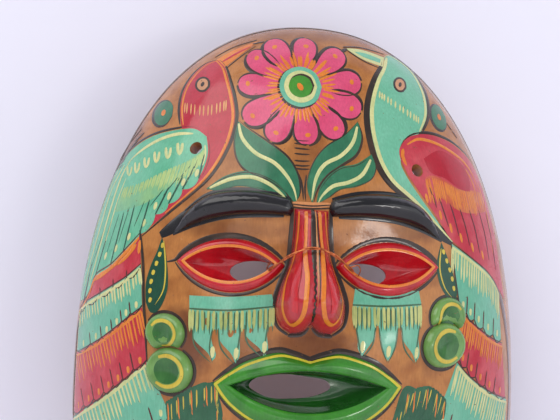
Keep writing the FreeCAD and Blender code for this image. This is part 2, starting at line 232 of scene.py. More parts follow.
def object_noise(tree, scale, detail, stretch=(1, 1, 1)):
    """Noise that is fixed to the piece, finer as scale grows."""
    place = tree.nodes.new("ShaderNodeTexCoord")
    mapping = tree.nodes.new("ShaderNodeMapping")
    mapping.inputs["Scale"].default_value = stretch
    grain = tree.nodes.new("ShaderNodeTexNoise")
    grain.inputs["Scale"].default_value = scale
    grain.inputs["Detail"].default_value = detail
    tree.links.new(place.outputs["Object"], mapping.inputs["Vector"])
    tree.links.new(mapping.outputs["Vector"], grain.inputs["Vector"])
    return grain.outputs["Fac"]


def mapped(tree, value, low, high, to_low, to_high):
    """A value moved from one range to another."""
    ranged = tree.nodes.new("ShaderNodeMapRange")
    for socket, number in zip(("From Min", "From Max", "To Min", "To Max"), (low, high, to_low, to_high)):
        ranged.inputs[socket].default_value = number
    tree.links.new(value, ranged.inputs["Value"])
    return ranged.outputs["Result"]


def maths(tree, operation, first, second):
    """One step of arithmetic on two values, each a number or a socket."""
    node = tree.nodes.new("ShaderNodeMath")
    node.operation = operation
    for socket, value in zip(node.inputs, (first, second)):
        if isinstance(value, (int, float)):
            socket.default_value = value
        else:
            tree.links.new(value, socket)
    return node.outputs["Value"]


def mixed(tree, share, first, second, blend="MIX"):
    """Two colours mixed by a share, each a value or a socket."""
    node = tree.nodes.new("ShaderNodeMix")
    node.data_type = "RGBA"
    node.blend_type = blend
    for socket, value in zip((node.inputs[0], node.inputs[6], node.inputs[7]), (share, first, second)):
        if isinstance(value, (int, float, tuple)):
            socket.default_value = value
        else:
            tree.links.new(value, socket)
    return node.outputs[2]


def effect(name, inputs, outputs):
    """A new node group with its named sockets."""
    group = bpy.data.node_groups.new(name, "ShaderNodeTree")
    for label, kind, value in inputs:
        group.interface.new_socket(label, in_out="INPUT", socket_type=kind).default_value = value
    for label, kind in outputs:
        group.interface.new_socket(label, in_out="OUTPUT", socket_type=kind)
    return group, group.nodes.new("NodeGroupInput"), group.nodes.new("NodeGroupOutput")


COLOUR, NUMBER = "NodeSocketColor", "NodeSocketFloat"
WHITE = (1.0, 1.0, 1.0, 1.0)

# slip laid on by hand: thin where the brush ran dry, with the faint marks of its hairs
brushed, taken, given = effect(
    "brushed_slip",
    [("Colour", COLOUR, WHITE), ("Thin", COLOUR, WHITE), ("Patchy", NUMBER, 0.5)],
    [("Colour", COLOUR), ("Height", NUMBER)],
)
patches = mapped(brushed, object_noise(brushed, 95.0, 4.0), 0.42, 0.66, 0.0, 1.0)
thinned = mixed(
    brushed,
    maths(brushed, "MULTIPLY", patches, taken.outputs["Patchy"]),
    taken.outputs["Colour"],
    taken.outputs["Thin"],
)
hairs = object_noise(brushed, 1.0, 2.0, (1300, 1300, 240))
tone = mapped(brushed, hairs, 0.3, 0.7, 0.9, 1.06)
grey = brushed.nodes.new("ShaderNodeCombineColor")
for channel in ("Red", "Green", "Blue"):
    brushed.links.new(tone, grey.inputs[channel])
brushed.links.new(mixed(brushed, 1.0, thinned, grey.outputs["Color"], "MULTIPLY"), given.inputs["Colour"])
brushed.links.new(hairs, given.inputs["Height"])

# small pits and knocks, where the brown clay shows through
pitted, taken, given = effect(
    "pitted",
    [("Colour", COLOUR, WHITE), ("Clay", COLOUR, WHITE), ("Amount", NUMBER, 0.02)],
    [("Colour", COLOUR), ("Mask", NUMBER)],
)
specks = maths(pitted, "ADD", object_noise(pitted, 620.0, 2.0), taken.outputs["Amount"])
pits = mapped(pitted, specks, 0.74, 0.78, 0.0, 1.0)
pitted.links.new(mixed(pitted, pits, taken.outputs["Colour"], taken.outputs["Clay"]), given.inputs["Colour"])
pitted.links.new(pits, given.inputs["Mask"])

# the gloss varnish: it pools and thins, and follows the dabs of the finger under it
varnish, taken, given = effect(
    "gloss_varnish",
    [("Brush", NUMBER, 0.0), ("Pits", NUMBER, 0.0)],
    [("Roughness", NUMBER), ("Height", NUMBER)],
)
pooled = mapped(varnish, object_noise(varnish, 50.0, 3.0), 0.35, 0.7, 0.13, 0.3)
varnish.links.new(pooled, given.inputs["Roughness"])
finger_dabs = object_noise(varnish, 210.0, 2.0)
relief_height = maths(varnish, "ADD", finger_dabs, maths(varnish, "MULTIPLY", taken.outputs["Brush"], 0.12))
relief_height = maths(
    varnish, "SUBTRACT", relief_height, maths(varnish, "MULTIPLY", taken.outputs["Pits"], 0.5)
)
varnish.links.new(relief_height, given.inputs["Height"])

CLAY = (122, 74, 48)


def grouped(nodes, group):
    """A node group placed in a material."""
    node = nodes.new("ShaderNodeGroup")
    node.node_tree = group
    return node


def glazed(name, colour, thin, patchy=0.5, pits=0.02, coat=0.3):
    """Painted and varnished clay."""
    material, nodes, links, shader = new_material(name)
    slip = grouped(nodes, brushed)
    slip.inputs["Colour"].default_value = linear(colour)
    slip.inputs["Thin"].default_value = linear(thin)
    slip.inputs["Patchy"].default_value = patchy
    worn = grouped(nodes, pitted)
    worn.inputs["Clay"].default_value = linear(CLAY)
    worn.inputs["Amount"].default_value = pits
    links.new(slip.outputs["Colour"], worn.inputs["Colour"])
    gloss = grouped(nodes, varnish)
    links.new(slip.outputs["Height"], gloss.inputs["Brush"])
    links.new(worn.outputs["Mask"], gloss.inputs["Pits"])
    bump = nodes.new("ShaderNodeBump")
    bump.inputs["Strength"].default_value = 0.5
    bump.inputs["Distance"].default_value = 0.25 * MM
    links.new(gloss.outputs["Height"], bump.inputs["Height"])
    links.new(bump.outputs["Normal"], shader.inputs["Normal"])
    links.new(gloss.outputs["Roughness"], shader.inputs["Roughness"])
    links.new(worn.outputs["Colour"], shader.inputs["Base Color"])
    shader.inputs["Specular IOR Level"].default_value = 0.35
    shader.inputs["Coat Weight"].default_value = coat
    shader.inputs["Coat Roughness"].default_value = 0.1
    return material


# painted shade: soft brown darkening round a place, where shade falls beside the ears, under the nose, the
# brows and the lower lip, between the brows and towards the top of the rim
shade, taken, given = effect(
    "painted_shade",
    [
        ("Colour", COLOUR, WHITE),
        ("Shade", COLOUR, WHITE),
        ("Place", "NodeSocketVector", (0, 0, 0)),
        ("Reach", "NodeSocketVector", (1, 1, 1)),
        ("Strength", NUMBER, 0.6),
    ],
    [("Colour", COLOUR)],
)
where = shade.nodes.new("ShaderNodeTexCoord")
apart = shade.nodes.new("ShaderNodeVectorMath")
apart.operation = "SUBTRACT"
scaled = shade.nodes.new("ShaderNodeVectorMath")
scaled.operation = "DIVIDE"
far = shade.nodes.new("ShaderNodeVectorMath")
far.operation = "LENGTH"
shade.links.new(where.outputs["Object"], apart.inputs[0])
shade.links.new(taken.outputs["Place"], apart.inputs[1])
shade.links.new(apart.outputs["Vector"], scaled.inputs[0])
shade.links.new(taken.outputs["Reach"], scaled.inputs[1])
shade.links.new(scaled.outputs["Vector"], far.inputs[0])
ragged = maths(shade, "MULTIPLY", object_noise(shade, 260.0, 3.0), 0.5)
edge = mapped(shade, maths(shade, "ADD", far.outputs["Value"], ragged), 0.75, 1.3, 1.0, 0.0)
shade.links.new(
    mixed(
        shade,
        maths(shade, "MULTIPLY", edge, taken.outputs["Strength"]),
        taken.outputs["Colour"],
        taken.outputs["Shade"],
    ),
    given.inputs["Colour"],
)

# where brown shade is painted on, in hollows and beside raised parts: x, z, reach in x, reach in z, strength
PAINTED_SHADE_SPOTS = [
    (-50.5, -56.0, 9.5, 17.0, 0.85),
    (-56.0, -46.0, 7.0, 7.0, 0.6),
    (58.5, -43.5, 8.0, 7.0, 0.6),
    (55.0, -58.0, 8.0, 14.0, 0.5),
    (0.0, -56.0, 26.0, 9.0, 0.75),
    (-26.0, -58.0, 12.0, 9.0, 0.5),
    (0.0, -102.0, 40.0, 9.0, 0.4),
    (0.0, 20.0, 14.0, 18.0, 0.4),
    (-36.0, -7.0, 26.0, 5.0, 0.45),
    (36.0, -7.0, 26.0, 5.0, 0.45),
    (-84.0, 30.0, 16.0, 18.0, 0.6),
    (0.0, 86.0, 70.0, 9.0, 0.5),
]
tan_slip = glazed("tan_slip", (186, 122, 62), (150, 88, 38), patchy=0.8, pits=0.015)
tan_tree = tan_slip.node_tree
tan_shader = tan_tree.nodes["Principled BSDF"]
tan_colour = tan_shader.inputs["Base Color"].links[0].from_socket
# the tan slip is darkened with painted shade at each of those places
for x, z, reach_x, reach_z, strength in PAINTED_SHADE_SPOTS:
    shade_spot = grouped(tan_tree.nodes, shade)
    shade_spot.inputs["Shade"].default_value = linear((104, 56, 30))
    shade_spot.inputs["Place"].default_value = Vector((x, -stand_out(x, z), z)) * MM
    shade_spot.inputs["Reach"].default_value = Vector((reach_x, 30.0, reach_z)) * MM
    shade_spot.inputs["Strength"].default_value = strength
    tan_tree.links.new(tan_colour, shade_spot.inputs["Colour"])
    tan_colour = shade_spot.outputs["Colour"]
tan_tree.links.new(tan_colour, tan_shader.inputs["Base Color"])

raw_clay, nodes, links, shader = new_material("raw_clay")
slip = grouped(nodes, brushed)
slip.inputs["Colour"].default_value = linear((150, 92, 60))
slip.inputs["Thin"].default_value = linear((176, 116, 80))
links.new(slip.outputs["Colour"], shader.inputs["Base Color"])
bump = nodes.new("ShaderNodeBump")
bump.inputs["Strength"].default_value = 0.6
bump.inputs["Distance"].default_value = 0.6 * MM
links.new(object_noise(raw_clay.node_tree, 380.0, 5.0), bump.inputs["Height"])
links.new(bump.outputs["Normal"], shader.inputs["Normal"])
shader.inputs["Roughness"].default_value = 0.85


def half_ball(rings):
    """The front half of a round ball with its pole towards the viewer."""
    bpy.ops.mesh.primitive_uv_sphere_add(
        segments=288, ring_count=rings, radius=1.0, rotation=(math.pi / 2, 0, 0)
    )
    bpy.ops.object.transform_apply(location=False, rotation=True, scale=False)
    ball = bpy.context.object
    bpy.ops.object.mode_set(mode="EDIT")
    bpy.ops.mesh.select_all(action="DESELECT")
    bpy.ops.object.mode_set(mode="OBJECT")
    for vertex in ball.data.vertices:
        vertex.select = vertex.co.y > 0.001
    bpy.ops.object.mode_set(mode="EDIT")
    bpy.ops.mesh.delete(type="VERT")
    bpy.ops.object.mode_set(mode="OBJECT")
    return ball


def ball_to_flat(co):
    """Where a point of the half ball lies on the dome laid out flat."""
    share = math.acos(max(-1.0, min(1.0, -co.y))) / (math.pi / 2)
    angle = math.atan2(co.z, co.x)
    return FLAT * share * math.cos(angle), FLAT * share * math.sin(angle)


front_skin = half_ball(180)
for vertex in front_skin.data.vertices:
    at = face_point(*ball_to_flat(vertex.co), bare)
    vertex.co = Vector((at.x, min(0.0, at.y), at.z)) * MM
back_skin = half_ball(120)
for vertex in back_skin.data.vertices:
    x, z = from_flat(*ball_to_flat(vertex.co), WALL)
    press = 0.9 * noise.noise(Vector((x / 13, z / 13, 9.4)))
    depth = stand_out(x, z, WALL)
    vertex.co = Vector((x, -depth * (1 + press / DOME_DEPTH), z)) * MM
bpy.ops.object.mode_set(mode="EDIT")
bpy.ops.mesh.select_all(action="SELECT")
bpy.ops.mesh.flip_normals()
bpy.ops.object.mode_set(mode="OBJECT")
front_skin.data.materials.append(tan_slip)
front_skin.data.materials.append(raw_clay)
back_skin.data.materials.append(tan_slip)
back_skin.data.materials.append(raw_clay)
for polygon in back_skin.data.polygons:
    polygon.material_index = 1
front_skin.select_set(True)
bpy.context.view_layer.objects.active = front_skin
bpy.ops.object.join()
shell = front_skin
shell.name = "mask_shell"
bpy.ops.object.mode_set(mode="EDIT")
bpy.ops.mesh.select_all(action="DESELECT")
bpy.ops.mesh.select_mode(type="EDGE")
bpy.ops.mesh.select_non_manifold()
bpy.ops.mesh.bridge_edge_loops()
bpy.ops.mesh.select_all(action="DESELECT")
bpy.ops.mesh.edges_select_sharp(sharpness=math.radians(50))
bpy.ops.mesh.bevel(offset=1.3 * MM, offset_pct=0, segments=3, affect="EDGES", clamp_overlap=True)
bpy.ops.object.mode_set(mode="OBJECT")


def almond(angle, centre, half_length, rise, drop):
    """A point of an eye-shaped outline of two arcs, by an angle round it."""
    tall = rise if math.sin(angle) >= 0 else drop
    radius = (half_length**2 + tall**2) / (2 * tall)
    x = half_length * math.cos(angle)
    height = math.sqrt(max(0.0, radius**2 - x**2)) - (radius - tall)
    return centre[0] + x, centre[1] + math.copysign(max(0.0, height), math.sin(angle))


def round_angles(count):
    """Angles at even steps once round."""
    return [2 * math.pi * step / count for step in range(count)]


def punch(loop, front, back):
    """A cutter with this outline, from one y to another."""
    bpy.ops.mesh.primitive_circle_add(vertices=len(loop), radius=1.0, fill_type="NGON")
    cutter = bpy.context.object
    for vertex, (x, z) in zip(cutter.data.vertices, loop):
        vertex.co = Vector((x, front, z)) * MM
    bpy.ops.object.mode_set(mode="EDIT")
    bpy.ops.mesh.select_all(action="SELECT")
    bpy.ops.mesh.extrude_region_move(TRANSFORM_OT_translate={"value": (0, (back - front) * MM, 0)})
    bpy.ops.mesh.select_all(action="SELECT")
    bpy.ops.mesh.normals_make_consistent(inside=False)
    bpy.ops.object.mode_set(mode="OBJECT")
    return cutter


def cut(piece, cutter):
    """Take the cutter out of the piece, and remove the cutter."""
    modifier = piece.modifiers.new("cut", "BOOLEAN")
    modifier.operation = "DIFFERENCE"
    modifier.solver = "EXACT"
    modifier.object = cutter
    bpy.ops.object.select_all(action="DESELECT")
    bpy.context.view_layer.objects.active = piece
    bpy.ops.object.modifier_apply(modifier="cut")
    bpy.data.objects.remove(cutter)


tie_hole_loops = []
for x, z in TIE_HOLES.values():
    middle, square = on_face(*to_flat(x, z))
    sideways = square.cross(Vector((0, 0, 1))).normalized()
    upward = sideways.cross(square)
    loop = []
    for angle in round_angles(28):
        spot = middle + (sideways * math.cos(angle) + upward * math.sin(angle)) * TIE_HOLE_RADIUS
        loop.append((spot.x, spot.z))
    tie_hole_loops.append(loop)
    aim = square.to_track_quat("Z", "Y").to_euler()
    bpy.ops.mesh.primitive_cylinder_add(
        vertices=28, radius=TIE_HOLE_RADIUS * MM, depth=30 * MM, location=middle * MM, rotation=aim
    )
    cut(shell, bpy.context.object)
for side in (-1, 1):
    border = EYE_PLUG_BORDER
    eye = [
        almond(a, (side * EYE_AT[0], EYE_AT[1]), EYE_HALF - border, EYE_RISE - border, EYE_DROP - border)
        for a in round_angles(64)
    ]
    cut(shell, punch(eye, -120, 5))
mouth = [almond(a, (0, LIP_Z), MOUTH_HALF, MOUTH_RISE, MOUTH_DROP) for a in round_angles(80)]
cut(shell, punch(mouth, -120, 5))
bpy.context.view_layer.objects.active = shell
shell.select_set(True)
bpy.ops.object.shade_smooth_by_angle(angle=math.radians(40))


def fitted(piece, slot_name, *nodes):
    """Fixes a finished piece of the mask, and hides the CAD solids that it stands in for."""
    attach(piece, "mask")
    if nodes:
        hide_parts(*nodes)
    return piece


fitted(shell, "painted_clay", "face_shell")


# Brows
# Two rolls of clay luted on, thick in the middle and drawn out to a point, with black slip
# under heavy varnish. They meet the top of the nose.
BROW_LOW = [(9.0, 0.0), (22.0, 0.2), (36.0, -1.0), (49.0, -4.6), (61.0, -10.5)]
BROW_HIGH = [(61.0, -10.5), (54.0, 0.5), (45.5, 7.2), (36.0, 10.0), (22.0, 10.2), (9.0, 7.5)]
BROW_INNER = [(9.0, 7.5), (7.6, 3.6), (9.0, 0.0)]
BROW_HEIGHT = 7.4
BROW_HALF = 5.5


def smooth(points, step=1.2):
    """Points at even steps along one soft curve through the given ones."""
    ends = [points[0], *points, points[-1]]
    line = []
    for before, start, end, after in zip(ends, ends[1:], ends[2:], ends[3:]):
        count = max(1, round(math.dist(start, end) / step))
        for index in range(count):
            t = index / count
            line.append(
                tuple(
                    0.5 * (2 * b + (c - a) * t + (2 * a - 5 * b + 4 * c - d) * t**2
                           + (3 * b - a - 3 * c + d) * t**3)
                    for a, b, c, d in zip(before, start, end, after)
                )
            )
    return [*line, tuple(points[-1])]


def outline(*curves, step=1.2):
    """A closed outline of soft curves that meet at corners."""
    loop = []
    for curve in curves:
        loop += smooth(curve, step)[:-1]
    return loop


def ring(centre, reach_x, reach_z, count=40):
    """A round or oval outline."""
    return [
        (centre[0] + reach_x * math.cos(a), centre[1] + reach_z * math.sin(a))
        for a in round_angles(count)
    ]


def inside(points, loops):
    """Which of the points lie within the loops, by how often a ray crosses them."""
    crossings = np.zeros(len(points), int)
    for loop in loops:
        start = np.array(loop)
        end = np.roll(start, -1, axis=0)
        x, z = points[:, :1], points[:, 1:]
        spans = (start[:, 1] > z) != (end[:, 1] > z)
        rise = np.where(end[:, 1] == start[:, 1], 1.0, end[:, 1] - start[:, 1])
        meets = x < (end[:, 0] - start[:, 0]) * (z - start[:, 1]) / rise + start[:, 0]
        crossings += (spans & meets).sum(axis=1)
    return crossings % 2 == 1


def edge_distance(points, loops):
    """How far each point lies from the nearest loop."""
    nearest = np.full(len(points), 1e9)
    for loop in loops:
        start = np.array(loop)
        way = np.roll(start, -1, axis=0) - start
        length = np.maximum((way**2).sum(axis=1), 1e-12)
        for begin in range(0, len(points), 2000):
            part = points[begin : begin + 2000]
            off = part[:, None, :] - start[None]
            share = np.clip((off * way[None]).sum(axis=2) / length, 0, 1)
            gap = off - share[..., None] * way[None]
            away = np.sqrt((gap**2).sum(axis=2)).min(axis=1)
            nearest[begin : begin + 2000] = np.minimum(nearest[begin : begin + 2000], away)
    return nearest


def fill(loops, spacing, rings=()):
    """Triangles within flat loops, over their corners, inset rings of points and a grid."""
    corners = np.array([point for loop in loops for point in loop])
    low, high = corners.min(axis=0), corners.max(axis=0)
    columns = np.arange(low[0] + spacing / 2, high[0], spacing)
    rows = np.arange(low[1] + spacing / 2, high[1], spacing * 0.866)
    grid = np.array([(x + spacing / 2 * (k % 2), z) for k, z in enumerate(rows) for x in columns])
    grid = grid.reshape(-1, 2)
    grid = grid[inside(grid, loops)]
    grid = grid[edge_distance(grid, loops) > (rings[-1] if rings else 0) + 0.5 * spacing]
    extra = [grid]
    for away in rings:
        for loop in loops:
            here = np.array(loop)
            along = np.roll(here, -1, axis=0) - np.roll(here, 1, axis=0)
            side = np.stack([-along[:, 1], along[:, 0]], axis=1)
            side /= np.maximum(np.linalg.norm(side, axis=1, keepdims=True), 1e-9)
            for turned in (side, -side):
                inset = here + turned * away
                inset = inset[inside(inset, loops)]
                inset = inset[edge_distance(inset, loops) > 0.9 * away]
                extra.append(inset)
    inner = np.concatenate(extra)
    edges = []
    for loop in loops:
        first = len(edges)
        edges += [(first + k, first + (k + 1) % len(loop)) for k in range(len(loop))]
    points = [Vector(point) for point in np.concatenate([corners, inner])]
    spots, _, faces, *_ = geometry.delaunay_2d_cdt(points, edges, [], 0, 1e-5)
    spots = np.array([tuple(spot) for spot in spots])
    faces = np.array([tuple(face) for face in faces])
    faces = faces[inside(spots[faces].mean(axis=1), loops)]
    a, b, c = (spots[faces[:, k]] for k in range(3))
    area = (b[:, 0] - a[:, 0]) * (c[:, 1] - a[:, 1]) - (b[:, 1] - a[:, 1]) * (c[:, 0] - a[:, 0])
    faces[area < 0] = faces[area < 0][:, ::-1]
    used = np.unique(faces)
    place = np.full(len(spots), -1)
    place[used] = np.arange(len(used))
    faces = [tuple(int(place[k]) for k in face) for face in faces]
    sides = {(face[k], face[(k + 1) % 3]) for face in faces for k in range(3)}
    rim = [side for side in sides if (side[1], side[0]) not in sides]
    return spots[used], faces, rim


def closed_slab(tops, bottoms, faces, rim):
    """A top and a bottom with the same triangles, and the wall that joins them."""
    count = len(tops)
    every = list(faces)
    every += [tuple(count + k for k in reversed(face)) for face in faces]
    every += [(b, a, a + count, b + count) for a, b in rim]
    return list(tops) + list(bottoms), every


def made(name, points, faces, material, normals=None, smooth_angle=None):
    """A mesh piece from points in millimetres."""
    mesh = bpy.data.meshes.new(name)
    mesh.from_pydata([Vector(point) * MM for point in points], [], faces)
    mesh.polygons.foreach_set("use_smooth", [True] * len(faces))
    mesh.materials.append(material)
    if normals:
        mesh.normals_split_custom_set_from_vertices([tuple(normal) for normal in normals])
    piece = bpy.data.objects.new(name, mesh)
    bpy.context.scene.collection.objects.link(piece)
    if smooth_angle:
        bpy.ops.object.select_all(action="DESELECT")
        piece.select_set(True)
        bpy.context.view_layer.objects.active = piece
        bpy.ops.object.shade_smooth_by_angle(angle=math.radians(smooth_angle))
    return piece


CLAY_EDGE_UNDER = 0.35  # how far the edge of a pressed-on piece starts under the surface
BROW_ROUNDING = 4.6  # how far in from its edge a brow is rounded off


def rounded(away, width):
    """How full a roll of clay is at a distance from its edge: 0 at the edge and 1 inside."""
    return math.sqrt(max(0.0, 1 - (1 - min(away, width) / width) ** 2))


def clay_front(loop, height, width):
    """How high the front of such a piece of clay stands over the shell at (x, z)."""
    flat_loop = [to_flat(x, z) for x, z in loop]

    def front(x, z):
        spot = np.array([to_flat(x, z)])
        if not inside(spot, [flat_loop])[0]:
            return 0.0
        gap = float(edge_distance(spot, [flat_loop])[0])
        return -CLAY_EDGE_UNDER + (CLAY_EDGE_UNDER + height(x, z)) * rounded(gap, width)

    return front


def luted(name, loop, height, width, material, spacing=1.1, sink=1.2):
    """A piece of clay pressed on the face: rounded off to its outline, with this height."""
    flat_loop = [to_flat(x, z) for x, z in loop]
    spots, faces, rim = fill([flat_loop], spacing, rings=(0.15, 0.45, 0.9, 1.5))
    away = edge_distance(spots, [flat_loop])
    tops, bottoms = [], []
    for (p, q), gap in zip(spots, away):
        x, z = from_flat(p, q)
        here, square = on_face(p, q)
        full = rounded(gap, width)
        tops.append(here + square * (-CLAY_EDGE_UNDER + (CLAY_EDGE_UNDER + height(x, z)) * full))
        bottoms.append(here - square * sink)
    points, every = closed_slab(tops, bottoms, faces, rim)
    return made(name, points, every, material, smooth_angle=50)


def line_height(points, x):
    """The z of a soft curve at x, for a curve that runs from left to right or back."""
    line = sorted(smooth(points, 0.8))
    return float(np.interp(x, [p[0] for p in line], [p[1] for p in line]))


def brow_height(x, z):
    """Full where the brow is broad and thin towards both ends."""
    low, high = line_height(BROW_LOW, abs(x)), line_height(BROW_HIGH, abs(x))
    half = max(0.3, (high - low) / 2)
    return min(BROW_HEIGHT, 1.2 + BROW_HEIGHT * (half / BROW_HALF) ** 1.4 - 1.0)


brow_black = glazed("brow_black", (17, 17, 20), (34, 32, 34), patchy=0.6, pits=-0.02, coat=0.6)
for side, side_name in ((-1, "left"), (1, "right")):
    loop = outline(BROW_LOW, BROW_HIGH, BROW_INNER)
    loop = [(side * x, z) for x, z in loop]
    brow = luted("brow_clay_" + side_name, loop, brow_height, BROW_ROUNDING, brow_black)
    fitted(brow, "black_slip", "brow_" + side_name)


# Nose
# A wedge of clay with a narrow bridge, parted by a groove into two long drops, and luted on.
# Red slip, and stripes of orange, black and tan that follow the drops down.
NOSE_TOP_Z = 3.5
NOSE_WIDEST_Z = -37.0
NOSE_ROUNDING = 17.0
NOSE_EDGE = 3.6  # how far in from its outline the nose is rounded off
BRIDGE_HALF = 7.5
NOSE_HALF = 15.0
BRIDGE_HEIGHT = 5.9
NOSE_HEIGHT = 20.9
NOSE_SIDE = [(7.5, 3.5), (8.0, -8.0), (9.2, -20.0), (13.0, -30.0), (15.0, -38.0), (13.6, -46.0), (8.8, -50.0)]
NOSE_UNDER = [(8.8, -50.0), (3.8, -49.4), (0.0, -46.5)]


def nose_height(x, z):
    """Rounded across with a groove down the middle, and highest at the broad end."""
    climb = (NOSE_TOP_Z - z) / (NOSE_TOP_Z - NOSE_WIDEST_Z)
    half = BRIDGE_HALF + (NOSE_HALF - BRIDGE_HALF) * min(1.0, climb**2)
    if climb < 1:
        ridge = BRIDGE_HEIGHT + (NOSE_HEIGHT - BRIDGE_HEIGHT) * climb
    else:
        ridge = NOSE_HEIGHT * (1 - ((z - NOSE_WIDEST_Z) / NOSE_ROUNDING) ** 2)
    across = min(1.0, abs(x) / half)
    groove = (0.5 + 2.6 * min(1.0, max(0.0, climb)) ** 1.5) * math.exp(-((x / 1.9) ** 2))
    return max(0.5, ridge * (1 - 0.62 * across**2) - groove)


nose_red = glazed("nose_red", (190, 44, 52), (168, 26, 40), patchy=0.6, pits=0.0, coat=0.5)
nose_loop = outline(
    [(-x, z) for x, z in NOSE_SIDE],
    [(-x, z) for x, z in NOSE_UNDER],
    list(reversed(NOSE_UNDER)),
    list(reversed(NOSE_SIDE)),
)
nose = luted("nose_clay", nose_loop, nose_height, NOSE_EDGE, nose_red, spacing=0.9)
fitted(nose, "red_slip", "nose")
nose_front = clay_front(nose_loop, nose_height, NOSE_EDGE)


# Eye surrounds
# A flat ring of clay round each eye, smoothed down into the opening as far as the back of the
# shell, where a smaller slot is left to see through. Red slip, thick with varnish.
SLOT_FROM_CORNER = 2.5
SLOT_BELOW = 1.5
SLOT_HALF = 11.0
SLOT_HALF_HEIGHT = 5.0
ROUND = 96
# how far in from the outline, and how high over the shell
EYE_SECTION = [
    (0.0, -0.6), (0.15, 0.5), (0.6, 1.4), (1.4, 2.2), (2.4, 2.7), (3.3, 2.6), (4.0, 1.9), (4.6, 0.7),
]


def looped(rows, closed=True):
    """The faces of rows of points that are wrapped round into a tube, row by row."""
    count = len(rows[0])
    faces = []
    for k in range(len(rows)):
        lower = (k + 1) % len(rows)
        for j in range(count if closed else count - 1):
            after = (j + 1) % count
            faces.append((k * count + j, k * count + after, lower * count + after, lower * count + j))
    if not closed:
        faces.append(tuple(k * count for k in range(len(rows))))
        faces.append(tuple(k * count + count - 1 for k in reversed(range(len(rows)))))
    return faces


eye_red = glazed("eye_red", (196, 22, 34), (158, 12, 26), patchy=0.7, pits=-0.02, coat=0.6)


def surround_row(side, angles, border, lift):
    """A row of points of the ring, this far in from its outline and this high."""
    row = []
    for angle in angles:
        x, z = almond(angle, EYE_AT, EYE_HALF - border, EYE_RISE - border, EYE_DROP - border)
        here, square = on_face(*to_flat(side * x, z))
        row.append(here + square * lift)
    return row


def slot_point(side, angle, grow):
    """A point of the outline of the slot in one surround, by an angle round it."""
    x = EYE_AT[0] - EYE_HALF + SLOT_FROM_CORNER + SLOT_HALF + (SLOT_HALF + grow) * math.cos(angle)
    z = EYE_AT[1] - SLOT_BELOW + (SLOT_HALF_HEIGHT + grow) * math.sin(angle)
    return side * x, z


for side, side_name in ((-1, "left"), (1, "right")):
    angles = round_angles(ROUND)
    rows = [surround_row(side, angles, border, lift) for border, lift in EYE_SECTION]
    lip = rows[-1]
    slot = []
    for angle in angles:
        x, z = slot_point(side, angle, 0.0)
        middle, square = on_face(*to_flat(side * EYE_AT[0], EYE_AT[1]))
        lean = (square.x * (x - middle.x) + square.z * (z - middle.z)) / square.y
        slot.append(Vector((x, middle.y - lean, z)) - square * (WALL - 0.8))
    for share in (0.2, 0.4, 0.6, 0.8, 0.94, 1.0):
        swell = 0.9 * math.sin(math.pi * share)
        row = []
        for near, back, angle in zip(lip, slot, angles):
            wobble = 0.45 * noise.noise(near * 0.16 + Vector((0, 0, side * 3.0))) * math.sin(math.pi * share)
            row.append(near.lerp(back, share) + square * (-swell + wobble))
        rows.append(row)
    rows.append([point - square * 0.9 for point in slot])
    plug = EYE_PLUG_BORDER + 0.15
    rows.append(surround_row(side, angles, plug, -WALL + 0.4))
    rows.append(surround_row(side, angles, plug, -0.8))
    points = [point for row in rows for point in row]
    faces = looped(rows)
    if side < 0:
        faces = [tuple(reversed(face)) for face in faces]
    surround = made("eye_clay_" + side_name, points, faces, eye_red, smooth_angle=60)
    fitted(surround, "red_slip", "eye_surround_" + side_name)


# Lips
# Two rolls of clay that meet at the corners of the mouth and are drawn in to a narrower gap at
# the back of the shell. Green slip, with a darker green painted as shade where the mouth turns inwards.
LIP_HALF = 41.0
UPPER_LINE = [(0.0, 11.0), (7.0, 13.4), (14.5, 14.5), (27.0, 10.6), (35.0, 5.2), (41.0, 0.0)]
LOWER_LINE = [(0.0, -19.0), (14.0, -18.6), (24.0, -16.0), (34.5, -8.6), (41.0, 0.0)]
LIP_SECTION = [
    (0.0, -0.6), (0.02, 0.5), (0.1, 1.6), (0.25, 3.1), (0.45, 4.6), (0.65, 5.1), (0.85, 4.5), (1.0, 2.9),
]
GAP_X = -8.0
GAP_HALF = 17.5
GAP_HALF_HEIGHT = 5.2
lip_green = glazed("lip_green", (58, 138, 38), (34, 100, 24), patchy=0.6, pits=-0.02, coat=0.6)
mouth_painted_shade = glazed("mouth_painted_shade", (22, 78, 20), (12, 50, 14), patchy=0.7, pits=-0.02, coat=0.6)


def lip_outline(angle):
    """The outer edge of the lips, by an angle round the mouth."""
    x = LIP_HALF * math.cos(angle)
    line = UPPER_LINE if math.sin(angle) >= 0 else LOWER_LINE
    return x, LIP_Z + line_height(line, abs(x))


def lip_lift(x, lift):
    """Lower towards the corners of the mouth."""
    fall = 1 - (x / LIP_HALF) ** 2
    return lift if lift < 0.5 else 0.5 + (lift - 0.5) * max(0.12, fall) ** 0.8


def mouth_edge(angle):
    """The inner edge of the lips, where they turn in."""
    x, z = almond(angle, (0, LIP_Z), MOUTH_HALF - 1.5, MOUTH_RISE - 2.5, MOUTH_DROP - 2.0)
    return x, z


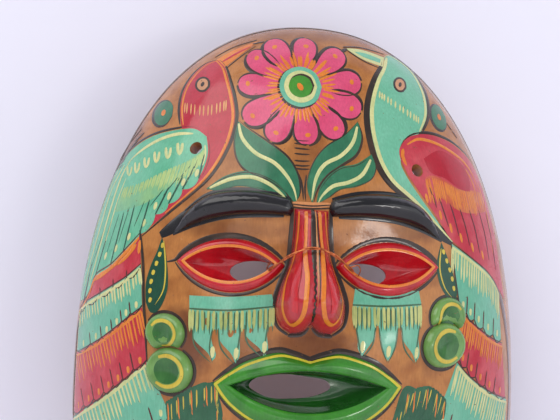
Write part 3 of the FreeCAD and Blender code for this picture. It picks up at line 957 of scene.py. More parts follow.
for lip_name, low, high in (("upper_lip", 0.0, math.pi), ("lower_lip", math.pi, 2 * math.pi)):
    angles = [low + (high - low) * k / 56 for k in range(57)]
    angles[0] += 1e-4
    angles[-1] -= 1e-4
    rows = []
    for share, lift in LIP_SECTION:
        row = []
        for angle in angles:
            outer, inner = lip_outline(angle), mouth_edge(angle)
            x = outer[0] + (inner[0] - outer[0]) * share
            z = outer[1] + (inner[1] - outer[1]) * share
            here, square = on_face(*to_flat(x, z))
            row.append(here + square * lip_lift(x, lift))
        rows.append(row)
    front_rows = len(rows)
    middle, square = on_face(*to_flat(0, LIP_Z))
    gap = []
    for angle in angles:
        x = GAP_X + GAP_HALF * math.cos(angle)
        uneven = 1 + 0.10 * math.sin(3 * angle + 0.6) + 0.06 * math.sin(5 * angle)
        z = LIP_Z + GAP_HALF_HEIGHT * math.sin(angle) * uneven
        lean = (square.x * (x - middle.x) + square.z * (z - middle.z)) / square.y
        gap.append(Vector((x, middle.y - lean, z)) - square * (WALL - 0.8))
    for share in (0.12, 0.3, 0.5, 0.7, 0.86, 1.0):
        swell = 2.2 * math.sin(math.pi * share)
        rows.append(
            [near.lerp(back, share) - square * swell for near, back in zip(rows[front_rows - 1], gap)]
        )
    rows.append([point - square * 0.9 for point in gap])
    for depth in (WALL - 0.4, 0.8):
        row = []
        for angle in angles:
            x, z = almond(angle, (0, LIP_Z), MOUTH_HALF - 0.2, MOUTH_RISE - 0.2, MOUTH_DROP - 0.2)
            here, away = on_face(*to_flat(x, z))
            row.append(here - away * depth)
        rows.append(row)
    points = [point for row in rows for point in row]
    lip = made(lip_name + "_clay", points, looped(rows, closed=False), lip_green, smooth_angle=60)
    # the faces that turn in to the mouth take the darker green, as painted shade
    lip.data.materials.append(mouth_painted_shade)
    for polygon in lip.data.polygons:
        if polygon.index // 56 in range(front_rows - 1, len(rows) - 1):
            polygon.material_index = 1
    fitted(lip, "green_slip", lip_name)


# Ears and ear spools
# A pad of clay for each ear and a round spool under it, dished by the thumb, in light green
# slip with darker edges.
EARS = {
    "left": ((-62.0, -52.5), (-59.5, -68.5)),
    "right": ((62.5, -43.0), (60.5, -55.5)),
}
EAR_RADIUS = 8.5
SPOOL_RADIUS = 10.0
EAR_EDGE = 2.6  # how far in from its outline the pad is rounded off
SPOOL_EDGE = 2.8
EAR_CLEAR = 0.3  # between the pad and the spool
ear_fronts = {}
ear_green = glazed("ear_green", (116, 162, 84), (90, 134, 66), patchy=0.7, pits=-0.01, coat=0.5)
for side_name, (ear_at, spool_at) in EARS.items():
    spool_loop = ring(spool_at, SPOOL_RADIUS, SPOOL_RADIUS, 56)
    ear_loop = [
        point
        for point in ring(ear_at, EAR_RADIUS, EAR_RADIUS, 72)
        if math.dist(point, spool_at) > SPOOL_RADIUS + EAR_CLEAR
    ]
    cut_at = max(range(len(ear_loop)), key=lambda k: math.dist(ear_loop[k], ear_loop[k - 1]))
    ear_loop = ear_loop[cut_at:] + ear_loop[:cut_at]
    start = math.atan2(ear_loop[-1][1] - spool_at[1], ear_loop[-1][0] - spool_at[0])
    end = math.atan2(ear_loop[0][1] - spool_at[1], ear_loop[0][0] - spool_at[0])
    for k in range(1, 12):
        angle = start + (end - start) * k / 12
        reach = SPOOL_RADIUS + EAR_CLEAR
        ear_loop.append((spool_at[0] + reach * math.cos(angle), spool_at[1] + reach * math.sin(angle)))

    # each is a little hollow in the middle, where the thumb pressed it
    def ear_height(x, z):
        return 3.1 - 1.3 * math.exp(-(((x - ear_at[0]) ** 2 + (z - ear_at[1]) ** 2) / 16.0))

    def spool_height(x, z):
        return 3.9 - 1.6 * math.exp(-(((x - spool_at[0]) ** 2 + (z - spool_at[1]) ** 2) / 22.0))

    ear = luted("ear_clay_" + side_name, ear_loop, ear_height, EAR_EDGE, ear_green)
    fitted(ear, "lime_slip", "ear_" + side_name)
    spool = luted("spool_clay_" + side_name, spool_loop, spool_height, SPOOL_EDGE, ear_green)
    fitted(spool, "lime_slip", "ear_spool_" + side_name)
    ear_fronts[side_name] = (
        clay_front(ear_loop, ear_height, EAR_EDGE),
        clay_front(spool_loop, spool_height, SPOOL_EDGE),
    )


# Hanging wire
# Two strands of thin copper wire laid together. They are led out of one eye, over the bridge of
# the nose and in at the other eye, and twisted together behind into a ring for a nail.
WIRE_ROUTE = [
    (0.7, -20.0, -10.0),
    (11.5, -38.0, -16.5),
    (17.2, -57.0, -22.0),
    (18.4, -69.5, -23.4),
    (16.6, -77.0, -21.6),
    (10.5, -81.6, -16.6),
    (4.0, -83.3, -13.2),
    (0.0, -83.4, -12.7),
]
STRAND_RADIUS = 0.33
STRAND_APART = 0.36
LAY = 22.0  # the length in which the strands go once round each other
LOOSE_END_RADIUS = 0.26
LOOSE_END_LAY = 30.0
STEM_STRAND_RADIUS = 0.5
STEM_STRAND_APART = 0.52
STEM_LAY = 4.6
STEM_FOOT = Vector((0.0, -20.0, -10.0))
STEM_TOP = Vector((0.0, -3.4, -3.4))
NAIL_EYE_Y = -3.0
NAIL_EYE_RADIUS = 3.6
NAIL_EYE_STRAND = 0.36  # the radius of its strands, and how far they lie from the middle line
NAIL_EYE_LAY = 5.6

copper, nodes, links, shader = new_material("copper_wire")
tarnish = mapped(copper.node_tree, object_noise(copper.node_tree, 700.0, 3.0), 0.35, 0.7, 0.0, 1.0)
metal = mixed(copper.node_tree, tarnish, linear((226, 134, 84)), linear((150, 76, 44)))
links.new(metal, shader.inputs["Base Color"])
links.new(mapped(copper.node_tree, tarnish, 0.0, 1.0, 0.25, 0.5), shader.inputs["Roughness"])
shader.inputs["Metallic"].default_value = 0.9


def strand(path, radius, apart, lay, phase, closed=False):
    """A round wire that winds about a path."""
    sides = 10
    count = len(path)
    points, faces = [], []
    normal = Vector((0, 0, 1))
    travelled = 0.0
    total = sum((path[k] - path[k - 1]).length for k in range(0 if closed else 1, count))
    turns = round(total / lay) if closed else total / lay
    centres = []
    for k, here in enumerate(path):
        before = path[k - 1] if closed or k else here
        after = path[(k + 1) % count] if closed or k < count - 1 else here
        along = (after - before).normalized()
        normal = (normal - along * normal.dot(along)).normalized()
        other = along.cross(normal)
        if k:
            travelled += (here - path[k - 1]).length
        angle = phase + 2 * math.pi * turns * travelled / total
        centres.append((here + (normal * math.cos(angle) + other * math.sin(angle)) * apart, along))
    normal = Vector((0, 0, 1))
    for k, (centre, _) in enumerate(centres):
        before = centres[k - 1][0] if closed or k else centre
        after = centres[(k + 1) % count][0] if closed or k < count - 1 else centre
        along = (after - before).normalized()
        normal = (normal - along * normal.dot(along)).normalized()
        other = along.cross(normal)
        for angle in round_angles(sides):
            points.append(centre + (normal * math.cos(angle) + other * math.sin(angle)) * radius)
    for k in range(count if closed else count - 1):
        after = (k + 1) % count
        for j in range(sides):
            step = (j + 1) % sides
            faces.append((k * sides + j, k * sides + step, after * sides + step, after * sides + j))
    if not closed:
        faces.append(tuple(reversed(range(sides))))
        faces.append(tuple((count - 1) * sides + j for j in range(sides)))
    return points, faces


def strands(name, paths, material):
    """One piece of wires, each given by its path, radius, distance apart, lay and phase."""
    points, faces = [], []
    for path in paths:
        more, sides = strand(*path)
        faces += [tuple(len(points) + k for k in side) for side in sides]
        points += more
    return made(name, points, faces, material)


half_route = smooth(WIRE_ROUTE, 0.9)
wire_path = [Vector(point) for point in half_route]
wire_path += [Vector((-x, y, z)) for x, y, z in reversed(half_route[:-1])]
loose_end = [
    Vector(point)
    for point in smooth(
        [(16.2, -77.4, -21.0), (19.6, -78.2, -20.0), (21.0, -76.0, -22.4), (20.4, -73.5, -25.0)], 0.7
    )
]
wire = strands(
    "hanging_wire_strands",
    [
        (wire_path, STRAND_RADIUS, STRAND_APART, LAY, 0.4),
        (wire_path, STRAND_RADIUS, STRAND_APART, LAY, 0.4 + math.pi),
        (loose_end, LOOSE_END_RADIUS, 0.0, LOOSE_END_LAY, 0.0),
    ],
    copper,
)
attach(wire, "hanger")
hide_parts("hanging_wire")

stem_path = [STEM_FOOT.lerp(STEM_TOP, k / 44) for k in range(45)]
ring_path = [
    Vector((NAIL_EYE_RADIUS * math.cos(a), NAIL_EYE_Y, NAIL_EYE_RADIUS * math.sin(a)))
    for a in round_angles(60)
]
nail_ring = strands(
    "wire_eye_twist",
    [
        (stem_path, STEM_STRAND_RADIUS, STEM_STRAND_APART, STEM_LAY, 0.0),
        (stem_path, STEM_STRAND_RADIUS, STEM_STRAND_APART, STEM_LAY, math.pi),
        (ring_path, NAIL_EYE_STRAND, NAIL_EYE_STRAND, NAIL_EYE_LAY, 0.0, True),
        (ring_path, NAIL_EYE_STRAND, NAIL_EYE_STRAND, NAIL_EYE_LAY, math.pi, True),
    ],
    copper,
)
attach(nail_ring, "hanger")
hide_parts("wire_eye")


# Painted ground lines
# The painter first runs a dark line round just inside the rim, and lines down both edges of
# the face. All the painting is slip, laid on with a brush before the varnish.
WASH, FILL, SECOND, STROKE, TOP = 0.06, 0.10, 0.14, 0.18, 0.22
SUNK = 0.25

TEAL, TEAL_THIN = (104, 180, 148), (128, 192, 160)
CREAM, CREAM_THIN = (216, 214, 150), (172, 194, 130)
ORANGE, ORANGE_THIN = (226, 132, 46), (214, 108, 42)
RED, RED_THIN = (190, 40, 56), (200, 66, 76)
LINE, LINE_THIN = (50, 40, 34), (78, 58, 44)
line_black = glazed("line_black", LINE, LINE_THIN, patchy=0.7)
cream_slip = glazed("cream_slip", CREAM, CREAM_THIN, patchy=0.5)
orange_slip = glazed("orange_slip", ORANGE, ORANGE_THIN, patchy=0.6)
red_slip = glazed("red_slip", RED, RED_THIN, patchy=0.6)
teal_slip = glazed("teal_slip", TEAL, TEAL_THIN, patchy=0.6)


def patch(lift, *curves, over=bare, spacing=2.5):
    """A filled shape of slip, within soft curves that meet at corners, with any tie hole cut out."""
    loops = [outline(*curves)]
    for hole in tie_hole_loops:
        if inside(np.array(hole), loops).all():
            loops.append(hole)
    spots, faces, rim = fill([[to_flat(x, z) for x, z in loop] for loop in loops], spacing)
    tops, bottoms, normals = [], [], []
    for p, q in spots:
        here, square = on_face(p, q, over)
        tops.append(here + square * lift)
        bottoms.append(here - square * SUNK)
        normals.append(square)
    points, every = closed_slab(tops, bottoms, faces, rim)
    return points, every, normals + normals


def oval(lift, centre, reach_x, reach_z, tilt=0, over=bare):
    """A round or oval dab of slip, turned by tilt degrees."""
    lean = math.radians(tilt)
    around = []
    for angle in round_angles(8):
        x, z = reach_x * math.cos(angle), reach_z * math.sin(angle)
        around.append(
            (centre[0] + x * math.cos(lean) - z * math.sin(lean),
             centre[1] + x * math.sin(lean) + z * math.cos(lean))
        )
    return patch(lift, [*around, around[0]], over=over, spacing=2.5)


def belly(share, start, end):
    """How wide a brush stroke is along its way: it fills out, and thins as the brush lifts."""
    rise = math.sin(min(1, share / 0.22) * math.pi / 2)
    fall = math.sin(min(1, (1 - share) / 0.4) * math.pi / 2)
    return (start + (1 - start) * rise) * (end + (1 - end) * fall)


def ridge(spots, lift, width, start, end, closed=False):
    """A thin ridge of slip along places on the clay, with a flat oval section."""
    count = len(spots)
    points, normals, faces = [], [], []
    for k, (here, square) in enumerate(spots):
        if closed:
            before, after, full = spots[k - 1][0], spots[(k + 1) % count][0], 1
        else:
            before, after = spots[max(k - 1, 0)][0], spots[min(k + 1, count - 1)][0]
            full = belly(k / (count - 1), start, end)
        side = (after - before).normalized().cross(square).normalized()
        half = max(0.04, width / 2 * full)
        low, crown = square * (lift - 0.05), square * (lift + min(0.12, 0.08 * half + 0.02))
        points += [here - side * half + low, here + crown, here + side * half + low, here - square * SUNK]
        normals += [square - side * 0.2, square, square + side * 0.2, -square]
    for k in range(count if closed else count - 1):
        near, far = 4 * k, 4 * ((k + 1) % count)
        for j in range(4):
            after = (j + 1) % 4
            faces.append((near + j, near + after, far + after, far + j))
    if not closed:
        last = 4 * (count - 1)
        faces += [(3, 2, 1, 0), (last, last + 1, last + 2, last + 3)]
    return points, faces, [normal.normalized() for normal in normals]


def stroke(lift, path, width, start=0.35, end=0.05, over=bare, step=1.3):
    """One stroke of the brush along a soft curve on the face."""
    line = smooth(path, step)
    if len(line) < 4:
        line = smooth(path, math.dist(path[0], path[-1]) / 4)
    return ridge([on_face(*to_flat(x, z), over) for x, z in line], lift, width, start, end)


def painted(name, material, shapes, slot_name="painted_clay"):
    """One piece of all these shapes of one colour, fixed to the mask."""
    points, faces, normals = [], [], []
    for more, sides, squares in shapes:
        faces += [tuple(len(points) + k for k in side) for side in sides]
        points += more
        normals += squares
    return fitted(made(name, points, faces, material, normals=normals), slot_name)


def between(first, last, share):
    """A place part of the way from one to another."""
    return tuple(a + (b - a) * share for a, b in zip(first, last))


def along(path, count, margin=0):
    """Places at even steps along a soft curve."""
    line = smooth(path, 0.5)
    return [
        line[round((margin + (1 - 2 * margin) * k / (count - 1)) * (len(line) - 1))]
        for k in range(count)
    ]


top_rim = [
    from_flat(FLAT * 0.92 * math.cos(math.radians(a)), FLAT * 0.92 * math.sin(math.radians(a)))
    for a in range(28, 153, 6)
]
LEFT_BORDER = [(-98.5, -27), (-101.9, -44.6), (-105, -57.1), (-105.6, -68), (-106.2, -86), (-106.2, -104)]
RIGHT_BORDER = [(88.5, -27.4), (93.7, -36.6), (98.3, -52.8), (101.2, -74.4), (101.4, -96), (98, -116)]
painter = random.Random(11)
ground_lines = [
    stroke(STROKE, top_rim, 1.6, start=0.5, end=0.5),
    stroke(STROKE, [(-77, 37.5), (-83.8, 29), (-89, 20), (-94, 9), (-98.4, -6), (-101.5, -20)], 1),
    stroke(STROKE, LEFT_BORDER, 2, end=0.6),
    stroke(
        STROKE,
        [(-75, -9), (-73, -23.5), (-72.2, -38), (-71.2, -49.5), (-69.8, -66)],
        1.5, start=0.6, end=0.4,
    ),
    stroke(STROKE, [(64.8, -10.5), (66.5, -25), (68.6, -38), (69.6, -50), (68, -63)], 0.8, start=0.6),
]
for share_at in along([(-76.5, 34.5), (-82, 27.5), (-86.5, 19.5)], 11):
    wobble = painter.uniform(-0.5, 0.5)
    x, z = share_at
    ground_lines.append(
        stroke(
            STROKE, [(x - 1.4, z - 1.2 + wobble), (x + 0.9, z + 0.9 + wobble)], 1.2, start=0.7, end=0.6
        ),
    )
for x, z in along([(67.5, 43.5), (71.5, 38.5)], 4):
    ground_lines.append(stroke(STROKE, [(x - 0.6, z + 0.8), (x + 0.8, z - 0.8)], 0.9))
painted("ground_lines", line_black, ground_lines)
brow_paint = []
for side in (-1, 1):
    for path, width in (
        ([(9, 7.7), (22, 10.4), (36, 10.4), (46, 7.6), (55, 0.6)], 2.4),
        ([(12, -0.2), (24, -0.2), (38, -1.6), (50, -5.2), (60, -10)], 1.8),
        ([(49, 2), (55, -2.4), (60, -6.6), (65.6, -10.6)], 6),
    ):
        brow_paint.append(stroke(WASH, [(side * x, z) for x, z in path], width, start=0.5, end=0.5))
painted("brow_paint", brow_black, brow_paint)
border_grey = glazed("border_grey", (120, 92, 84), (96, 72, 66), patchy=0.6)
painted("right_border", border_grey, [stroke(FILL, RIGHT_BORDER, 4.6, start=0.2, end=0.8)])


# Flower
# Eleven pink petals about a green eye with a cream ring, in the middle of the forehead. Short
# orange strokes fan out over the petals from the middle, and each petal ends in an orange dot.
FLOWER = (-4.6, 57.8)
# the rings of its eye lie one over another, each a little higher than the last
TEAL_LIFT, CREAM_LIFT, EDGE_LIFT, EYE_LIFT, DAB_LIFT = 0.20, 0.24, 0.27, 0.31, 0.36
# the direction of each petal in degrees, its length, and its half width
PETALS = [
    (121, 26.5, 5.6), (82, 24.5, 5.2), (42, 27, 5.2), (7, 28, 5.6), (-21, 29, 5.6), (-52, 28.5, 5.2),
    (-84, 26.5, 5.2), (-118, 28.5, 5.2), (-147, 30, 5.6), (179, 28, 5), (147, 28, 5.4),
]
petal_pink = glazed("petal_pink", (220, 84, 122), (206, 62, 100), patchy=0.5)
leaf_green = glazed("leaf_green", (48, 112, 80), (66, 136, 98), patchy=0.6)
eye_green = glazed("flower_eye_green", (72, 146, 48), (52, 124, 40), patchy=0.6)


def petal_place(direction, reach, side):
    """A place on a petal: how far out from the eye, and how far to one side."""
    lean = math.radians(direction)
    x = FLOWER[0] + reach * math.cos(lean) - side * math.sin(lean)
    return x, FLOWER[1] + reach * math.sin(lean) + side * math.cos(lean)


petals, petal_edges, rays, dots = [], [], [], []
for direction, reach, half in PETALS:
    shape = [(8, 0.36), (13, 0.62), (reach * 0.66, 0.95), (reach * 0.84, 0.98), (reach * 0.96, 0.62)]
    right_side = [petal_place(direction, r, -half * w) for r, w in shape]
    left_side = [petal_place(direction, r, half * w) for r, w in reversed(shape)]
    tip = petal_place(direction, reach, 0)
    petals.append(patch(FILL, [*right_side, tip, *left_side], [left_side[-1], right_side[0]]))
    shadow = [petal_place(direction, r, half * w + 0.5) for r, w in shape[1:]]
    petal_edges.append(
        stroke(WASH, [*shadow, petal_place(direction, reach + 0.6, 0.6)], 2.6, start=0.1, end=0.3)
    )
    shadow = [petal_place(direction, r, -half * w - 0.3) for r, w in shape[1:]]
    petal_edges.append(
        stroke(WASH, [*shadow, petal_place(direction, reach + 0.4, -0.6)], 1.6, start=0.1, end=0.3)
    )
    dots.append(
        oval(SECOND, petal_place(direction, reach - 4.2, painter.uniform(-0.6, 0.6)), 1, 1.3, direction)
    )
for k in range(50):
    direction = 360 * k / 50 + painter.uniform(-2.5, 2.5)
    start_at, end_at = painter.uniform(9, 10.5), painter.uniform(14.5, 18.6)
    rays.append(
        stroke(
            SECOND,
            [
                petal_place(direction, start_at, 0),
                petal_place(direction, end_at, painter.uniform(-0.5, 0.5)),
            ],
            1.25,
        ),
    )
painted("flower_petals", petal_pink, petals)
painted("flower_outlines", line_black, petal_edges)
painted("flower_rays", orange_slip, rays + dots)
painted("flower_shadow", line_black, [oval(SECOND + 0.02, (FLOWER[0] - 0.7, FLOWER[1] - 0.6), 9.9, 9.9)])
painted("flower_ring_teal", teal_slip, [oval(TEAL_LIFT, FLOWER, 9.6, 9.5)])
painted("flower_ring_cream", cream_slip, [oval(CREAM_LIFT, FLOWER, 7.5, 7.6)])
painted("flower_eye_edge", line_black, [oval(EDGE_LIFT, (FLOWER[0] + 0.5, FLOWER[1] + 0.6), 5.7, 5.5)])
painted("flower_eye", eye_green, [oval(EYE_LIFT, FLOWER, 5.4, 5.2)])
painted("flower_eye_dab", orange_slip, [oval(DAB_LIFT, (FLOWER[0] - 0.2, FLOWER[1] - 0.2), 1.3, 2, 30)])


# Stem and leaves
# A stem of short dark bars under the flower, and four dark green leaves, each with a cream rib
# that ends in a fine point.
LADDER = [(-4.4, 33), (-4.2, 20.5)]
LEAVES = [
    (
        [(-32.5, 41), (-34.2, 33), (-33, 25), (-28.5, 19.5), (-20, 16.2), (-12.5, 11.4), (-7.4, 5.6)],
        [(-7.4, 5.6), (-5.4, 10), (-6.4, 18), (-11, 25.5), (-19, 31.5), (-28, 37.5), (-32.5, 41)],
        [(-32.3, 40), (-30.5, 33.3), (-24.7, 27), (-16.6, 23), (-11.2, 17.6), (-7.9, 12), (-6.6, 6.8)],
    ),
    (
        [(-46, 10.6), (-38, 16.4), (-28.5, 19), (-20, 17), (-13, 12.4), (-9.4, 5.4)],
        [(-9.4, 5.4), (-15, 7.4), (-22, 11), (-32, 12.2), (-41, 10.2), (-46, 10.6)],
        [(-44.5, 11), (-35.5, 15.2), (-26.5, 16.4), (-19, 13.8), (-13.4, 9.6), (-10, 6)],
    ),
    (
        [(21, 42.5), (22.4, 35.5), (19.8, 28.2), (13.4, 23.4), (6.6, 18.4), (2.2, 12.2), (0.4, 5.6)],
        [(0.4, 5.6), (-1.8, 11), (-1.6, 17), (1.4, 24.6), (7, 31), (14.6, 35.8), (21, 42.5)],
        [(20.6, 40.2), (18.4, 32.9), (13.1, 27), (5.9, 23), (1.9, 16.7), (0, 7)],
    ),
    (
        [(26.8, 28), (20, 23.6), (13, 22), (7.6, 18.2), (3.4, 12.2), (2, 5.4)],
        [(2, 5.4), (7, 8.2), (12.4, 12), (19.9, 13.6), (26.4, 17), (28.6, 22.6), (26.8, 28)],
        [(26.4, 25.6), (22.5, 18.9), (16.3, 15.3), (9.5, 13.5), (4.8, 9.4), (3, 6.2)],
    ),
]
painted(
    "leaf_shadows", line_black,
    [stroke(WASH, [(x + 0.3, z - 0.6) for x, z in low], 1.3, start=0.1) for low, _, _ in LEAVES]
    + [stroke(WASH, [(x + 0.3, z + 0.4) for x, z in high], 0.9, start=0.1) for _, high, _ in LEAVES],
)
painted("leaves", leaf_green, [patch(FILL, low, high) for low, high, _ in LEAVES])
painted("leaf_ribs", cream_slip, [stroke(STROKE, rib, 1.7, start=0.5, end=0.2) for _, _, rib in LEAVES])
stem = [
    stroke(FILL, [(x - 3.4, z + 0.3), (x, z), (x + 3.5, z + painter.uniform(-0.3, 0.3))], 0.8)
    for x, z in along(LADDER, 7)
]
stem.append(stroke(FILL, [(-7, 20), (-4.6, 15), (-3.6, 7)], 0.9))
stem.append(stroke(FILL, [(-2.4, 18), (-3, 12), (-2.6, 6.5)], 0.8))
painted("stem", line_black, stem)


# Left bird
# A red bird that looks in at the flower, outlined in orange, with a striped beak and a ring of
# tan about its eye. Its tail runs down behind the wing to the temple.
bird_red = glazed("bird_red", (184, 40, 58), (196, 62, 76), patchy=0.6)
LEFT_BREAST = [
    (-42, 70.4), (-39, 66.6), (-37, 60), (-35, 52), (-34, 44), (-35, 37), (-37.2, 30),
    (-41.2, 22), (-46.2, 15), (-52.5, 8.8), (-63, -0.6), (-75, -11.6),
]
LEFT_BACK = [
    (-55.6, 33), (-58, 39), (-58.8, 47), (-57.4, 55.5), (-53.2, 63.2), (-47.4, 68.6), (-42, 70.4),
]
painted(
    "left_bird_shadow", line_black,
    [stroke(WASH, [(x + 0.9, z) for x, z in LEFT_BREAST], 1.6, end=0.3),
     stroke(WASH, [(x - 0.7, z + 0.2) for x, z in LEFT_BACK[1:]], 1.5)],
)
painted(
    "left_bird", bird_red,
    [patch(FILL, LEFT_BREAST, [(-75, -11.6), (-66, 1), (-58, 12), (-55, 24), (-55.6, 33)], LEFT_BACK)],
)
painted(
    "left_bird_lines", orange_slip,
    [stroke(STROKE, [(x - 0.9, z - 0.3) for x, z in LEFT_BREAST[:-1]], 1.3, end=0.3),
     stroke(STROKE, [(x + 0.9, z - 0.2) for x, z in LEFT_BACK[1:]], 1.1),
     patch(FILL, [(-42.6, 70.6), (-34, 75.8), (-23.6, 80)], [(-23.6, 80), (-31, 73.4), (-38.8, 66.8)],
           [(-38.8, 66.8), (-42.6, 70.6)])],
)
painted("left_beak_stripe", red_slip, [stroke(STROKE, [(-40, 69.4), (-33.5, 73.6), (-27, 77.2)], 1.5)])
painted(
    "left_beak_lines", line_black,
    [stroke(STROKE, [(-43.4, 72), (-34.6, 77.2), (-24, 80.8)], 0.8, end=0.8),
     stroke(STROKE, [(-26, 78.6), (-20.6, 79.8)], 1.2, start=0.6, end=0.5),
     stroke(STROKE, [(-38.2, 66), (-31, 72.4), (-24.6, 77.4)], 0.7)],
)
ticks = along([(-56.6, 47), (-47, 45.6), (-38, 48.2)], 12)
painted("left_bird_ticks", glazed("tick_tan", (222, 160, 96), (206, 130, 76)),
        [stroke(STROKE, [(x, z + 2.5), (x - 0.1, z - 2.6)], 0.7) for x, z in ticks])


def bird_eye(name, centre):
    """A bird's eye: a dark edge, a tan ring and a dark pupil."""
    painted(name + "_edge", line_black, [oval(TEAL_LIFT, centre, 3.5, 3.9, -20)])
    painted(
        name + "_ring",
        glazed(name + "_tan", (206, 150, 108), (190, 132, 92)),
        [oval(CREAM_LIFT, centre, 2.5, 2.9, -20)],
    )
    painted(name + "_pupil", line_black, [oval(CREAM_LIFT + 0.04, centre, 0.8, 1.3, -25)])


bird_eye("left_eye_dab", (-48.8, 58.2))


# Left wing
# A broad teal wing folded over the red bird. Cream marks run in rows across it: short double
# dabs at the shoulder, then fine barbs, and long feathers with a cream dab at each tip.
FIELD = 0.17  # the lift of a field of another colour that is laid on a wing
WING_TOP = [
    (-104.6, -46), (-104, -30), (-101, -14), (-96.5, 0.5), (-91.6, 11.5), (-86, 21.5), (-79.4, 28.6),
    (-71, 33.6), (-61, 36.4), (-52, 37.2), (-46.4, 33.8),
]
WING_RIGHT = [(-46.4, 33.8), (-45.6, 27), (-46.8, 21), (-49.4, 15)]
FEATHER_TIPS = [
    (-49.4, 15), (-56.4, 10), (-62.4, 3.4), (-68.2, -1.6), (-75.2, -11), (-82.4, -18.8), (-88.4, -25.6),
    (-95.8, -31.4), (-104.6, -46),
]
FEATHER_ROOTS = [
    (-47, 26), (-50.4, 22), (-56, 16.5), (-62.6, 10.6), (-71, 5), (-78, 2), (-83, -1.5), (-88.8, -5),
]


def tips(points, depth):
    """A rounded end to each feather, between the given places."""
    curves = []
    for start, end in zip(points, points[1:]):
        span = Vector(end) - Vector(start)
        out = Vector((span.y, -span.x)).normalized()
        if out.y > 0:
            out = -out
        reach = depth * min(1, span.length / 8)
        middle = [Vector(start) + span * share + out * reach for share in (0.22, 0.5, 0.78)]
        middle[1] += out * reach * 0.35
        curves.append([start, *[tuple(point) for point in middle], end])
    return curves


wing_teal = glazed("wing_teal", (98, 180, 142), (124, 196, 160), patchy=0.6)
barb_lime = glazed("barb_lime", (176, 200, 124), (150, 188, 120), patchy=0.7)
feather_line = glazed("feather_line", (42, 84, 66), (60, 96, 76), patchy=0.5)
painted("left_wing_shadow", line_black, [stroke(WASH, [(x - 0.3, z + 0.9) for x, z in WING_TOP[4:]], 1.4),
                                         stroke(WASH, [(x + 0.8, z - 0.4) for x, z in WING_RIGHT], 1)])
painted("left_wing", wing_teal, [patch(SECOND, WING_TOP, WING_RIGHT, *tips(FEATHER_TIPS, 1.2))])
marks = [
    stroke(TOP, [(-52.4, 35), (-59, 34.8), (-66, 32.8), (-72.6, 29.4), (-78.6, 25), (-82.8, 20.6)], 1.7),
    stroke(TOP, [(-81.4, 22), (-85.6, 14), (-89.8, 0), (-93.6, -15), (-99, -37)], 1.5, end=0.2),
    stroke(TOP, [(-84.4, 20), (-90.4, 7.5), (-94.7, -8.6), (-98.4, -23), (-102, -38)], 1.4, end=0.2),
    stroke(TOP, [(-83, 14), (-86.4, 4), (-90.6, -12), (-96, -32)], 0.9, end=0.2),
    stroke(TOP, [(-86.8, 19), (-93, 5), (-98, -12), (-101.6, -27)], 0.8, end=0.2),
    stroke(TOP, [(-47, 30), (-46.8, 25), (-48.4, 19.5)], 0.9),
]
for x, z, height in (
    (-58.2, 30.6, 5.6), (-63.5, 28.4, 5.2), (-68.7, 26.4, 5.2), (-73.4, 23.6, 4.8), (-77.9, 21.2, 5),
    (-81.6, 19.2, 4.4)
):
    for lean in (-1, 1):
        marks.append(
            stroke(
                TOP,
                [(x + 1.1 * lean, z), (x + 0.8 * lean, z - height * 0.6), (x - 0.1, z - height)],
                1.6, start=0.6,
            ),
        )
tip_dabs = [
    (-50.4, 16.9), (-56.3, 12.6), (-62.4, 6.2), (-68.5, 1.6), (-73.4, -6.2), (-80.2, -12.8),
    (-86.2, -18.6), (-91.2, -22.6),
]
for x, z in tip_dabs:
    marks.append(stroke(TOP, [(x + 0.6, z + 2.2), (x - 0.3, z - 1.2)], 1.9, start=0.5, end=0.3))
painted("left_wing_cream", cream_slip, marks)
barb_tops = along([(-47, 28.4), (-51.4, 23.9), (-59.6, 20.3), (-68, 16.2), (-76, 12), (-83.4, 9.6)], 34)
barbs = []
for k, (x, z) in enumerate(barb_tops):
    length = painter.uniform(8, 11.5) * (0.55 + 0.45 * math.sin(math.pi * min(1, (k + 4) / 26)))
    foot = (x - 0.28 * length, z - length)
    barbs.append(
        stroke(TOP, [(x, z), between((x, z), foot, 0.5), foot], painter.uniform(0.7, 1.2), start=0.6)
    )
barb_field = patch(
    FIELD,
    [(-48, 27), (-59.6, 19.6), (-68, 15.4), (-76, 11.2), (-84.4, 8.4)],
    [(-84.4, 8.4), (-87.4, -2)],
    [(-87.4, -2), (-79, 0.6), (-72.1, 3.6), (-64.8, 9), (-57.7, 14.6), (-51.2, 20.2), (-48, 27)],
)
painted(
    "left_wing_barb_field",
    glazed("barb_wash", (140, 190, 132), (112, 178, 140), patchy=0.9),
    [barb_field],
)
painted("left_wing_barbs", barb_lime, barbs)
feathers = []
for (x, z), (end_x, end_z) in zip(FEATHER_ROOTS, FEATHER_TIPS):
    feathers.append(
        stroke(
            TOP + 0.02,
            [(x, z), between((x, z), (end_x, end_z), 0.5), (end_x, end_z)],
            0.9, start=0.1, end=0.7,
        ),
    )
    feathers.append(stroke(TOP, [(x - 2.4, z - 1), (end_x - 2.6, end_z + 3.4)], 0.5, start=0.1, end=0.3))
painted("left_wing_feathers", feather_line, feathers)


